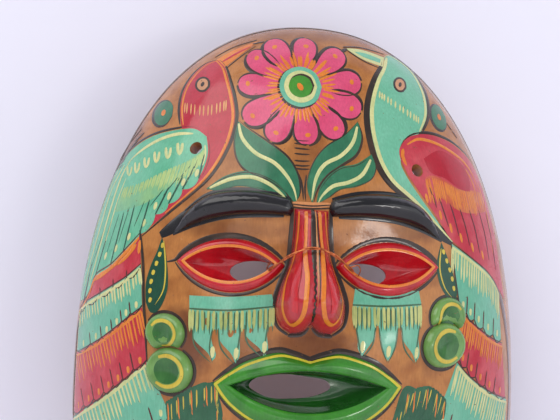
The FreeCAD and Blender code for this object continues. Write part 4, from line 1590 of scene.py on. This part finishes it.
# Right bird
# A teal bird edged in cream, with a thick dark shadow along its breast. It looks in at the
# flower from the other side.
bird_teal = glazed("bird_teal", (112, 186, 152), (130, 200, 168), patchy=0.5)
RIGHT_BREAST = [
    (37, 74.6), (35.4, 70), (31.6, 63.6), (28.4, 55.5), (26.8, 47.5), (27, 39), (28.8, 30), (31.4, 23),
    (36.2, 16), (44.8, 8.8), (53.4, 0.8), (64.4, -10.2),
]
RIGHT_BACK = [(64.4, -10.2), (57.5, -0.5), (49.5, 9.6), (43, 19), (40.5, 26), (45, 33.6), (51.6, 39.5)]
RIGHT_HEAD = [
    (51.6, 39.5), (55.4, 47), (56.2, 55.5), (54.6, 63), (51.2, 70), (45.6, 74.4), (40.4, 76.4), (37, 74.6),
]
painted(
    "right_bird_shadow", line_black,
    [stroke(WASH, [(x - 1.3, z - 0.2) for x, z in RIGHT_BREAST], 3.2, start=0.3, end=0.2),
     stroke(WASH, [(x + 1, z + 0.3) for x, z in RIGHT_HEAD], 2.2, start=0.5, end=0.3)],
)
painted("right_bird", bird_teal, [patch(FILL, RIGHT_BREAST, RIGHT_BACK, RIGHT_HEAD)])
painted(
    "right_bird_cream", cream_slip,
    [
        stroke(STROKE, [(x + 1, z) for x, z in RIGHT_BREAST], 1.9, start=0.5, end=0.3),
        stroke(STROKE, [(x - 0.9, z - 0.2) for x, z in RIGHT_HEAD], 1.5, start=0.3),
        stroke(STROKE, [(37.2, 73.6), (35.6, 68.6), (31.6, 62)], 1.6),
        patch(
            SECOND,
            [(17.6, 77.8), (25.4, 77.6), (36.6, 74.6)],
            [(36.6, 74.6), (35, 69.6)],
            [(35, 69.6), (25.4, 72.6), (17.6, 77.8)],
        ),
    ]
    + [
        stroke(
            STROKE, [(x + 0.2, z + 1.7), (x - 0.2, z - 1.7)], 0.9
        ) for x, z in along([(32, 55.6), (50.6, 44.6)], 13)
    ],
)
painted(
    "right_beak", bird_teal,
    [
        patch(
            TOP - 0.02,
            [(21.6, 76.2), (27, 75.8), (34.6, 73.4)],
            [(34.6, 73.4), (33.8, 71.4)],
            [(33.8, 71.4), (26.4, 73.6), (21.6, 76.2)],
        ),
    ],
)
painted(
    "right_beak_lines", line_black,
    [stroke(STROKE, [(16.4, 78.4), (25.4, 78.8), (37, 76.6)], 1, start=0.8),
     stroke(STROKE, [(15.4, 75.8), (18, 77.6)], 2.2, start=0.5, end=0.5),
     stroke(STROKE, [(18, 76.8), (26, 71.6), (34.4, 68.4)], 0.8)],
)
bird_eye("right_eye_dab", (42.8, 61.2))


# Right wing
# A red wing over the teal bird, with an orange line inside its upper edge, a fan of orange barbs
# and dark lines between the feathers.
RW_TOP = [
    (40.4, 26.5), (40.2, 31), (43.8, 35.6), (49, 37.8), (55, 38.2), (61.5, 37), (68.4, 34.4), (75.6, 29.8),
    (80.6, 25), (84.4, 18), (87.6, 9), (90.6, -1.5), (92.8, -12), (94.6, -26), (97, -38),
]
RW_BOTTOM = [(97, -38), (92.6, -33), (89.4, -28.6), (84.6, -23.6), (76, -17.4), (64.6, -9.4)]
RW_INNER = [(64.6, -9.4), (58, 0.4), (50.2, 10.6), (44.4, 18.6), (40.4, 26.5)]
wing_red = glazed("wing_red", (192, 50, 66), (206, 84, 90), patchy=0.8)
painted("right_wing_shadow", line_black, [stroke(WASH, [(x + 0.6, z + 0.8) for x, z in RW_TOP[:9]], 1.7)])
painted("right_wing", wing_red, [patch(SECOND, RW_TOP, RW_BOTTOM, RW_INNER)])
painted(
    "right_wing_field", glazed("deep_red", (178, 24, 44), (184, 40, 56), patchy=0.7),
    [patch(FIELD, [(52, 27), (60, 31), (67.4, 28.6), (73.9, 24), (77, 17), (76.4, 12.2)],
           [(76.4, 12.2), (70.5, 13.6), (62.7, 18.2), (55.4, 20.8), (52, 27)])],
)
orange_marks = [
    stroke(
        TOP,
        [
            (44, 33), (49, 35.6), (54.5, 35.4), (61.4, 33.4), (68.9, 29.8), (74.7, 26), (79.4, 20.4),
            (82.2, 12.5),
        ],
        1.6,
    ),
    stroke(TOP, [(75, 23), (78.6, 17), (80.4, 11)], 1.1),
    stroke(TOP, [(82.6, 16.7), (86, 6), (88.4, -6), (89.6, -16.5)], 0.9),
    stroke(TOP, [(42, 31), (41.6, 27.6), (43.4, 23.4)], 1.8),
]
for x, z in ((52.8, 8.6), (59.6, 1.2), (64.9, -4.6), (70.2, -9), (76.4, -13.4), (82.4, -17.2)):
    orange_marks.append(stroke(TOP, [(x - 0.5, z + 2.6), (x + 0.4, z - 1.6)], 1.6, start=0.5, end=0.3))
barb_starts = along([(52.6, 17.6), (56, 18.4), (62, 16.8), (70, 13.2), (78.5, 12.6), (83, 12)], 30)
for k, (x, z) in enumerate(barb_starts):
    length = painter.uniform(6, 12)
    orange_marks.append(
        stroke(TOP, [(x, z), (x + 0.20 * length, z - length)], painter.uniform(0.6, 1.1), start=0.5)
    )
painted("right_wing_wash", glazed("orange_wash", (206, 110, 62), (196, 72, 62), patchy=1), [
    patch(FIELD - 0.005, [(52.6, 18.4), (56, 19.4), (62.4, 17.4), (70.5, 13.4), (79, 13), (84.5, 12)],
          [(84.5, 12), (86, 3)],
          [(86, 3), (78, 2.4), (70, 3.6), (63, 7.6), (56, 12), (52.6, 14), (52.6, 18.4)])])
painted("right_wing_orange", orange_slip, orange_marks)
painted(
    "right_wing_feathers", glazed("wing_dark", (86, 30, 34), (116, 44, 46)),
    [stroke(TOP + 0.02, path, 0.8, start=0.1, end=0.4) for path in (
        [(54, 14.4), (56, 10), (57.6, 5)], [(59, 9.6), (61.4, 3), (63.6, -3.4)],
        [(64.6, 7), (67, 0), (69, -7.6)], [(69.8, 5), (72.6, -3), (74.8, -12)],
        [(75.4, 4), (78.4, -5), (80.6, -15.6)], [(81.2, 4), (84.4, -7), (86.4, -19)],
        [(86.4, 2), (89, -10), (91, -24)],
    )],
)


# Green ovals
# Two small green buds by the birds' backs, each with an orange dot and a dark edge.
for bud_name, centre, tilt in (("left_bud", (-66.6, 44.8), -18), ("right_bud", (62.6, 47), 12)):
    painted(bud_name + "_edge", line_black, [oval(WASH, (centre[0] - 0.6, centre[1] - 0.3), 5, 7, tilt)])
    painted(bud_name, leaf_green, [oval(FILL, centre, 4.3, 6.2, tilt)])
    painted(bud_name + "_dot", orange_slip, [oval(STROKE, centre, 1, 1.6, tilt)])


# Cheek bands
# Bands of feathers down both sides of the face, teal and red in turn. Each band starts at a
# cream or orange line, is combed with fine strokes, and ends in a row of rounded tips.
def comb(starts, count, length, lean, width):
    """Fine strokes side by side that all hang from one line."""
    made_strokes = []
    for x, z in along(starts, count):
        reach = length * painter.uniform(0.7, 1)
        foot = (x + lean * reach, z - reach)
        made_strokes.append(
            stroke(
                TOP,
                [(x, z), between((x, z), foot, 0.5), foot],
                width * painter.uniform(0.8, 1.1),
                start=0.5,
            ),
        )
    return made_strokes


def dabs(places, width, drop, lean=0):
    """Short thick touches of the brush."""
    return [
        stroke(
            TOP, [(x - lean / 2, z + drop / 2), (x + lean / 2, z - drop / 2)], width, start=0.5, end=0.3
        ) for x, z in places
    ]


def gaps(tips_at, rise, lean):
    """The dark lines between feathers, from each joint of the tips upwards."""
    return [
        stroke(TOP + 0.02, [(x + lean * rise, z + rise), (x, z)], 0.8, start=0.1, end=0.7) for x, z in tips_at
    ]


# top line of the band, then the joints of its feather tips, both from the face outwards
LEFT_BANDS = [
    (
        [(-75, -10.7), (-82.7, -19.7), (-88.4, -25.8), (-95.8, -31.6), (-99, -40), (-104, -49)],
        [(-74, -25), (-80.3, -30.4), (-86.6, -35.2), (-93, -39.9), (-100, -45.2), (-104, -49)],
    ),
    (
        [(-74, -24), (-80.3, -30), (-86.6, -34.6), (-93, -39.2), (-100, -44.4), (-104.3, -49)],
        [
            (-72.8, -41.6), (-78, -45.6), (-82, -49.7), (-86.4, -54.5), (-91.5, -58.4), (-97, -62.6),
            (-104.6, -68.4),
        ],
    ),
    (
        [(-72.8, -42.6), (-78.4, -47.4), (-84.5, -53), (-92, -59.6), (-98, -64.2), (-104.6, -69.4)],
        [
            (-70, -65.2), (-75.8, -70), (-80.6, -75), (-85, -78.8), (-89.4, -82.8), (-94.4, -87.2),
            (-99.6, -91.8), (-105.6, -98),
        ],
    ),
    (
        [(-70, -66), (-76.4, -72.2), (-85, -80.6), (-91, -86.2), (-99, -93.2), (-105.8, -100.6)],
        [
            (-60, -86), (-66, -93), (-72.6, -99.4), (-79.6, -105.6), (-87, -111.4), (-95, -116.6),
            (-103.6, -121.2),
        ],
    ),
    (
        [(-62.6, -90.6), (-70, -98.4), (-79, -106.8), (-88, -113.8), (-97, -119.2), (-103.8, -122.4)],
        [
            (-50, -112), (-57.6, -119.4), (-65.4, -125.6), (-73.6, -131), (-82.4, -135.4),
            (-91.6, -138.6), (-97.6, -139.6),
        ],
    ),
]
RIGHT_BANDS = [
    (
        [(65, -11), (75.6, -18), (84.4, -24.2), (89.4, -29.4), (92.4, -34)],
        [(68.8, -38), (72.6, -42), (76.8, -45), (82, -49.2), (88.2, -53.2), (93.8, -56.4)],
    ),
    (
        [(69.6, -40.6), (74, -45.4), (80.4, -50.4), (87, -54.8), (94.4, -58.4)],
        [(68.6, -61), (73, -66), (78, -71), (83.6, -75.6), (89.2, -79.4), (97.8, -84)],
    ),
    (
        [(67.8, -63.6), (73.3, -69.6), (79.5, -74.6), (88, -80.2), (98.6, -85.4)],
        [(58, -88), (64, -94.6), (70.8, -100.6), (78.2, -106), (86, -110.4), (93, -113.6), (98.4, -115)],
    ),
    (
        [(59.6, -90.6), (66.6, -97.8), (75, -104.6), (84, -110.6), (94.6, -115.4), (98.4, -116.4)],
        [(48, -112), (55.6, -119.4), (63.6, -125.6), (72, -131), (81, -135.4), (90.4, -138.8), (96, -139.8)],
    ),
]
band_red = glazed("band_red", (190, 48, 62), (204, 78, 84), patchy=0.8)


def band_patch(band, lift):
    """The ground colour of one band."""
    top, joints = band
    return patch(lift, list(reversed(top)), [top[0], joints[0]], *tips(joints, 1.8), [joints[-1], top[-1]])


painted("left_red_bands", band_red, [band_patch(LEFT_BANDS[k], FILL + 0.02 * k) for k in (4, 2, 0)])
painted("left_teal_bands", teal_slip, [band_patch(LEFT_BANDS[k], FILL + 0.01) for k in (3, 1)])
painted("right_red_bands", band_red, [band_patch(RIGHT_BANDS[k], FILL) for k in (3, 1)])
painted("right_teal_bands", teal_slip, [band_patch(RIGHT_BANDS[k], FILL + 0.01) for k in (2, 0)])

cream_comb, orange_comb, dark_gaps = [], [], []
for side_bands, out in ((LEFT_BANDS, -1), (RIGHT_BANDS, 1)):
    for k, (top, joints) in enumerate(side_bands):
        lean = -out * (0.06 + 0.1 * k)
        red_band = (k % 2 == 0) == (out < 0)
        marks = orange_comb if red_band else cream_comb
        inset = [(x + 0.3 * out, z - 1.6) for x, z in top]
        reach = math.dist(top[1], joints[1]) * 0.5
        marks.append(stroke(TOP + 0.02, inset, 1.7, start=0.6, end=0.5))
        if k or out > 0:
            marks += comb(inset, 24, reach, lean, 1.1)
        middles = [between(a, b, 0.5) for a, b in zip(joints, joints[1:])]
        if k or out > 0:
            marks += dabs([(x, z + 1.8) for x, z in middles], 1.7, 3, lean)
        dark_gaps += gaps(joints[1:-1], reach * 0.62, -lean)
        dark_gaps.append(stroke(TOP, [(x, z + 0.4) for x, z in top], 0.7, start=0.5, end=0.4))
painted("cheek_combs_cream", cream_slip, cream_comb)
painted("cheek_combs_orange", orange_slip, orange_comb)
painted("cheek_gaps", glazed("gap_dark", (84, 40, 36), (110, 58, 46)), dark_gaps)
shadows = []
for band in LEFT_BANDS[:3] + RIGHT_BANDS[:2]:
    for start, end in zip(band[1], band[1][1:]):
        middle = between(start, end, 0.5)
        shadows.append(
            stroke(TOP + 0.025, [start, (middle[0] - 0.3, middle[1] - 2.5), end], 0.7, start=0.5, end=0.5)
        )
painted("cheek_tip_lines", line_black, shadows)
painted(
    "cheek_blush", orange_slip,
    [stroke(TOP, path, 2, start=0.3) for path in (
        [(-76.4, -15.4), (-80.4, -20.6), (-85.2, -25.6)], [(-84.4, -23.6), (-90.4, -29), (-96, -34)],
        [(-74.6, -13.4), (-75.2, -19.6)],
    )],
)


# Temple leaves
# A long dark green leaf hangs in front of each ear, with a row of yellow dots down its edge.
LEAF_LIFT = 0.13
yellow_slip = glazed("yellow_slip", (212, 190, 70), (190, 160, 58), patchy=0.5)
deep_green = glazed("deep_green", (26, 74, 54), (38, 92, 66), patchy=0.6)
TEMPLE_DOTS_LEFT = [
    (-64.4, -15), (-65.6, -19), (-66.9, -23), (-68.2, -27), (-69, -31), (-69.4, -35), (-69.2, -39),
]
TEMPLE_DOTS_RIGHT = [(60.8, -14.6), (62.4, -18.6), (63.8, -22.6), (65, -26.6), (65.8, -30.8)]
painted(
    "temple_leaves", deep_green,
    [
        patch(
            LEAF_LIFT,
            [(-64.8, -11.4), (-62.6, -20), (-61.6, -33), (-65, -42.6), (-68.8, -44.4), (-71.2, -40)],
            [(-71.2, -40), (-71.4, -32), (-69.4, -24), (-66.8, -17.6), (-64.8, -11.4)],
        ),
        patch(
            LEAF_LIFT,
            [(59.8, -10.4), (62.6, -16.6), (65.2, -23.6), (67.4, -31), (66.4, -36.4), (62.6, -35)],
            [(62.6, -35), (58.6, -28.6), (57.4, -20), (59.8, -10.4)],
        ),
    ],
)
painted(
    "temple_dots", yellow_slip,
    dabs(TEMPLE_DOTS_LEFT, 1.7, 2.2, -0.6) + dabs(TEMPLE_DOTS_RIGHT, 1.6, 2.2, 0.5) + [
        stroke(TOP, [(-64, -13), (-62.8, -24), (-63.4, -34), (-67, -41)], 0.7),
        stroke(TOP, [(59.6, -13), (58.8, -22), (61, -30), (64.6, -34.6)], 0.7),
    ],
)


# Under-eye fringes
# A teal bar under each eye with a fringe of fine cream strokes, and three teal feathers that
# hang from it down the cheek.
FRINGES = {
    "left": ([(-52, -35.6), (-34, -35.2), (-16.6, -33.6)], [(-51.8, -41), (-34, -40.6), (-15.6, -38.6)],
             [((-50.4, -48), (-41.4, -47.6), (-41.6, -63)), ((-39.4, -47.4), (-29.4, -46.6), (-31.6, -63)),
              ((-28.2, -45.6), (-17.8, -44.6), (-19.6, -60))]),
    "right": ([(19.4, -30.6), (33, -31.2), (48.4, -31.4)], [(18.4, -37.2), (33, -37.6), (49.4, -37)],
              [((19.6, -45.4), (28.4, -45.6), (22.6, -59)), ((29.6, -45.8), (38.4, -45.8), (34, -61)),
               ((39.8, -45.6), (48.6, -45.2), (47, -62))]),
}
fringe_teal, fringe_cream, fringe_dark, feather_dabs = [], [], [], []
for top, bottom, feather_list in FRINGES.values():
    fringe_teal.append(patch(FILL, top, [top[-1], bottom[-1]], list(reversed(bottom)), [bottom[0], top[0]]))
    drop = 8.2
    low = [(x, z - drop) for x, z in bottom]
    fringe_teal.append(
        patch(
            WASH + 0.02,
            [(x, z + 0.8) for x, z in bottom],
            [(bottom[-1][0], bottom[-1][1] + 0.8), low[-1]],
            list(reversed(low)),
            [low[0], (bottom[0][0], bottom[0][1] + 0.8)],
        ),
    )
    for x, z in along(bottom, 17, 0.01):
        fringe_cream.append(
            stroke(
                TOP,
                [(x, z - 0.6), (x + painter.uniform(-0.4, 0.4), z - painter.uniform(8.4, 10.4))],
                1.35, start=0.6,
            ),
        )
    fringe_dark.append(stroke(TOP, [(x, z - 0.1) for x, z in bottom], 0.8, start=0.6, end=0.6))
    fringe_dark += [
        stroke(STROKE, [(x, z - 1), (x, z - 10.6)], 0.7, start=0.3) for x, z in along(bottom, 16, 0.03)
    ]
    for start, end, tip in feather_list:
        fringe_teal.append(
            patch(
                FILL,
                [start, end],
                [
                    end,
                    (end[0] - 0.6, between(end, tip, 0.4)[1]),
                    (tip[0] + 1.7, between(end, tip, 0.8)[1]),
                    tip,
                ],
                [
                    tip,
                    (tip[0] - 1.9, between(start, tip, 0.75)[1]),
                    (start[0] + 1, between(start, tip, 0.4)[1]),
                    start,
                ],
            ),
        )
        fringe_dark.append(
            stroke(
                STROKE,
                [
                    (start[0] + 0.2, start[1] - 1),
                    (start[0] + 1.5, between(start, tip, 0.6)[1]),
                    (tip[0] - 0.3, tip[1] - 0.6),
                ],
                0.7,
            ),
        )
        fringe_dark.append(
            stroke(
                STROKE,
                [
                    (end[0] - 0.2, end[1] - 1),
                    (end[0] - 1.3, between(end, tip, 0.6)[1]),
                    (tip[0] + 0.3, tip[1] - 0.6),
                ],
                0.7,
            ),
        )
        feather_dabs.append(
            stroke(TOP, [(tip[0] + 0.4, tip[1] + 6.6), (tip[0], tip[1] + 1.6)], 2, start=0.4, end=0.2)
        )
painted("fringe_teal", teal_slip, fringe_teal)
painted("fringe_dark", glazed("fringe_dark", (62, 98, 70), (88, 116, 80), patchy=0.6), fringe_dark)
painted("fringe_lime", glazed("fringe_lime", (192, 196, 122), (146, 166, 94), patchy=0.8), fringe_cream)
painted("feather_dabs", cream_slip, feather_dabs)


# Eye lines
# Each eye is drawn with a thick dark line over its upper edge, run out to a point, a thin line
# below, and an orange line laid round inside the red.
def eye_edge(side, away, first, last):
    """Places just outside an eye surround, between two angles in degrees."""
    around = []
    for k in range(13):
        angle = math.radians(first + (last - first) * k / 12)
        x, z = almond(angle, EYE_AT, EYE_HALF + away, EYE_RISE + away, EYE_DROP + away)
        around.append((side * x, z))
    return around


eye_line_strokes = []
for side in (-1, 1):
    outer_corner = (side * 62.5, -22)
    eye_line_strokes.append(
        stroke(WASH, [outer_corner, *eye_edge(side, 1.2, 12, 176)], 2.6, start=0.2, end=0.3)
    )
    eye_line_strokes.append(stroke(WASH, eye_edge(side, 0.9, -8, -172), 1.5, start=0.3, end=0.3))
painted("eye_lines", line_black, eye_line_strokes)


def eye_ring(side, border, lift):
    """Places round the clay of an eye surround, this far in from its outline."""
    spots = []
    for angle in round_angles(120):
        x, z = almond(angle, EYE_AT, EYE_HALF - border, EYE_RISE - border, EYE_DROP - border)
        here, square = on_face(*to_flat(side * x, z))
        spots.append((here + square * lift, square))
    return spots if side > 0 else list(reversed(spots))


EYE_RIDGE = 2.7
painted("eye_orange", orange_slip,
        [ridge(eye_ring(side, 3.4, EYE_RIDGE), 0, 1.3, 1, 1, closed=True) for side in (-1, 1)])


# Nose lines
# Two red drops down the nose, each with an orange line laid round inside its edge, and dark
# lines between them and round them.
DROP_LIFT = 0.12
MIDDLE_LIFT = 0.3  # over the groove, which would hide a lower stroke
DROP_LINE = [
    (2.9, 1.6), (3, -12), (3.2, -26), (3.4, -37), (4.8, -44), (8.4, -46.6), (11.6, -43.6),
    (12.6, -38), (11, -31), (7.6, -21), (6, -10), (5.6, 1.6),
]
DROP_CORE = [(4.4, -4), (4.8, -16), (6.4, -28), (8, -36), (8, -42)]
painted(
    "nose_orange", orange_slip,
    [
        stroke(
            DROP_LIFT,
            [(side * x, z) for x, z in DROP_LINE],
            2, start=0.7, end=0.5, over=nose_front, step=0.9,
        )
        for side in (-1, 1)
    ],
)
painted(
    "nose_cores",
    glazed("nose_core", (204, 40, 46), (186, 30, 40), patchy=0.6, coat=0.5),
    [
        stroke(
            0.1, [(side * x, z) for x, z in DROP_CORE], 4.2, start=0.2, end=0.8, over=nose_front, step=0.9
        )
        for side in (-1, 1)
    ],
)
nose_lines = [
    stroke(
        MIDDLE_LIFT,
        [(0, 2.4), (0, -14), (0, -30), (0, -45)],
        2.2, start=0.6, end=0.6, over=nose_front, step=0.9,
    ),
    stroke(SECOND, [(1.7, 2), (1.8, -20), (1.9, -38)], 0.6, over=nose_front, step=0.9),
]
for side in (-1, 1):
    nose_lines.append(
        stroke(
            WASH,
            [(side * (x + 0.9), z - (0.4 if z < -40 else 0)) for x, z in NOSE_SIDE],
            1.9, start=0.7, end=0.6,
        ),
    )
    nose_lines.append(
        stroke(
            WASH, [(side * 9.6, -50.8), (side * 3.8, -50.2), (side * 0.6, -47.4)], 1.8, start=0.6, end=0.4
        ),
    )
    nose_lines.append(
        stroke(
            DROP_LIFT,
            [(side * x, z) for x, z in ((6.8, 1), (7.2, -9), (8.4, -20), (12, -30.4), (14, -37.6))],
            0.7, over=nose_front, step=0.9,
        ),
    )
painted("nose_lines", line_black, nose_lines)
painted("nose_tan", glazed("nose_tan", (206, 140, 84), (190, 118, 70)),
        [stroke(DROP_LIFT, [(1.1, 2), (1.2, -20), (1.2, -40)], 0.9, over=nose_front, step=0.9)])
painted(
    "nose_bar", glazed("bar_tan", (214, 146, 92), (198, 126, 78)),
    [stroke(STROKE, [(-8.6, 5.4), (0, 5), (8.6, 5.4)], 2.4, start=0.5, end=0.5)],
)
painted(
    "nose_bar_line", line_black,
    [
        stroke(TOP + 0.1, [(-8.6, 5.2), (0, 4.6), (8.4, 5.2)], 0.7, start=0.5, end=0.5),
        stroke(STROKE, [(-9, 3.8), (0, 3.4), (9, 3.8)], 0.7, start=0.5, end=0.5),
    ],
)


# Mouth lines
# A dark line over the upper lip that dips to its notch, a yellow line laid round inside the
# edge of both lips, and a thin dark line under the lower one.
def lip_ring(share, lift):
    """Places round the lips, this share of the way from the outline to the mouth."""
    spots = []
    for angle in round_angles(150):
        outer, inner = lip_outline(angle), mouth_edge(angle)
        x = outer[0] + (inner[0] - outer[0]) * share
        z = outer[1] + (inner[1] - outer[1]) * share
        here, square = on_face(*to_flat(x, z))
        spots.append((here + square * lip_lift(x, lift), square))
    return spots


painted("lip_yellow", glazed("lip_yellow", (206, 190, 44), (176, 168, 40), patchy=0.5, coat=0.5),
        [ridge(lip_ring(0.2, 2.6), 0.22, 1.5, 1, 1, closed=True)])
upper_edge = [(x, LIP_Z + z + 1) for x, z in UPPER_LINE]
lower_edge = [(x, LIP_Z + z - 0.9) for x, z in LOWER_LINE]
painted(
    "mouth_lines", line_black,
    [stroke(WASH, [(side * x, z) for x, z in upper_edge], 2.6, start=0.9, end=0.2) for side in (-1, 1)]
    + [stroke(WASH, [(side * x, z) for x, z in lower_edge], 1.4, start=0.9, end=0.3) for side in (-1, 1)],
)


# Ear lines
# A dark green shade and a yellow curve on each ear and each spool, open towards the temple, and
# a dark line about them both.
SHADE_LIFT, CURVE_LIFT = 0.08, 0.16
def arc(centre, radius, first, last, side):
    """An open curve round a place, in degrees from level on the inner side."""
    turn = [first + (last - first) * k / 8 for k in range(9)]
    return [
        (
            centre[0] - side * radius * math.cos(math.radians(t)),
            centre[1] + radius * math.sin(math.radians(t)),
        )
        for t in turn
    ]


ear_yellow, ear_dark, ear_edge = [], [], []
for side, side_name in ((-1, "left"), (1, "right")):
    (ear_at, spool_at), (ear_front, spool_front) = EARS[side_name], ear_fronts[side_name]
    ear_yellow.append(
        stroke(
            CURVE_LIFT,
            arc(ear_at, 5.4, 150, -95, side),
            1.6, over=ear_front, start=0.6, end=0.6, step=0.9,
        ),
    )
    ear_yellow.append(
        stroke(
            0.16, arc(spool_at, 6.7, 120, -130, side), 1.9, over=spool_front, start=0.6, end=0.6, step=0.9
        ),
    )
    ear_dark.append(oval(SHADE_LIFT, ear_at, 4.3, 4.5, over=ear_front))
    ear_dark.append(oval(SHADE_LIFT, spool_at, 5.4, 5.6, over=spool_front))
    ear_edge.append(stroke(WASH, arc(ear_at, EAR_RADIUS + 0.5, 150, -40, side), 1.6, start=0.5, end=0.5))
    ear_edge.append(stroke(WASH, arc(spool_at, SPOOL_RADIUS + 0.6, 60, -140, side), 2, start=0.5, end=0.4))
painted("ear_yellow", yellow_slip, ear_yellow)
painted("ear_shade", glazed("ear_shade", (40, 96, 40), (66, 122, 56), patchy=0.7, coat=0.5), ear_dark)
painted("ear_edges", line_black, ear_edge)


# Beard
# Dark green strokes from the corners of the jaw towards the chin, with orange and yellow ones
# laid over them, and a dark line below along the rim.
BEARD_LIFT = 0.04  # its dark ground lies under all the strokes
beard_green = glazed("beard_green", (38, 88, 60), (52, 108, 74), patchy=0.7)
beard, beard_lights, beard_warm = [], [], []
BEARD = {
    "left": [(-60, -82), (-50, -75), (-40, -71.6), (-34, -99), (-22, -111), (-8, -116)],
    "right": [(62, -79), (54, -73), (44, -74.6), (34, -99), (22, -111), (8, -116)],
}
for side, (side_name, roots) in zip((-1, 1), BEARD.items()):
    for k, (x, z) in enumerate(along(roots[:3], 16) + along([roots[2], (side * 38, -88), *roots[3:]], 22)):
        reach = painter.uniform(13, 18)
        foot = (x * 0.94 - side * 1, z - reach)
        beard.append(stroke(FILL, [(x, z), (x * 0.985, z - reach * 0.5), foot], 3.4, start=0.5, end=0.2))
        if k % 2:
            beard_lights.append(
                stroke(STROKE, [(x + 0.8, z - 1.6), (x * 0.98, z - reach * 0.6)], 0.9, start=0.5)
            )
        elif k % 4 == 0:
            beard_warm.append(stroke(STROKE, [(x, z - 1), (x * 0.985, z - reach * 0.7)], 1.2, start=0.5))
for side in (-1, 1):
    beard_field = [
        (side * x, z)
        for x, z in ((60, -82), (50, -75), (42, -73), (37, -88), (32, -100), (20, -111), (2, -116))
    ]
    beard_foot = [
        (side * x, z)
        for x, z in ((2, -126), (20, -121), (35, -111), (45, -98), (56, -89), (60, -82))
    ]
    beard.append(patch(BEARD_LIFT, beard_field, [beard_field[-1], beard_foot[0]], beard_foot))
painted("beard", beard_green, beard)
painted("beard_yellow", yellow_slip, beard_lights)
painted("beard_orange", orange_slip, beard_warm)
chin_line = [
    from_flat(FLAT * 0.92 * math.cos(math.radians(a)), FLAT * 0.92 * math.sin(math.radians(a)))
    for a in range(-150, -29, 6)
]
painted("chin_line", line_black, [stroke(STROKE, chin_line, 1.6, start=0.5, end=0.5)])
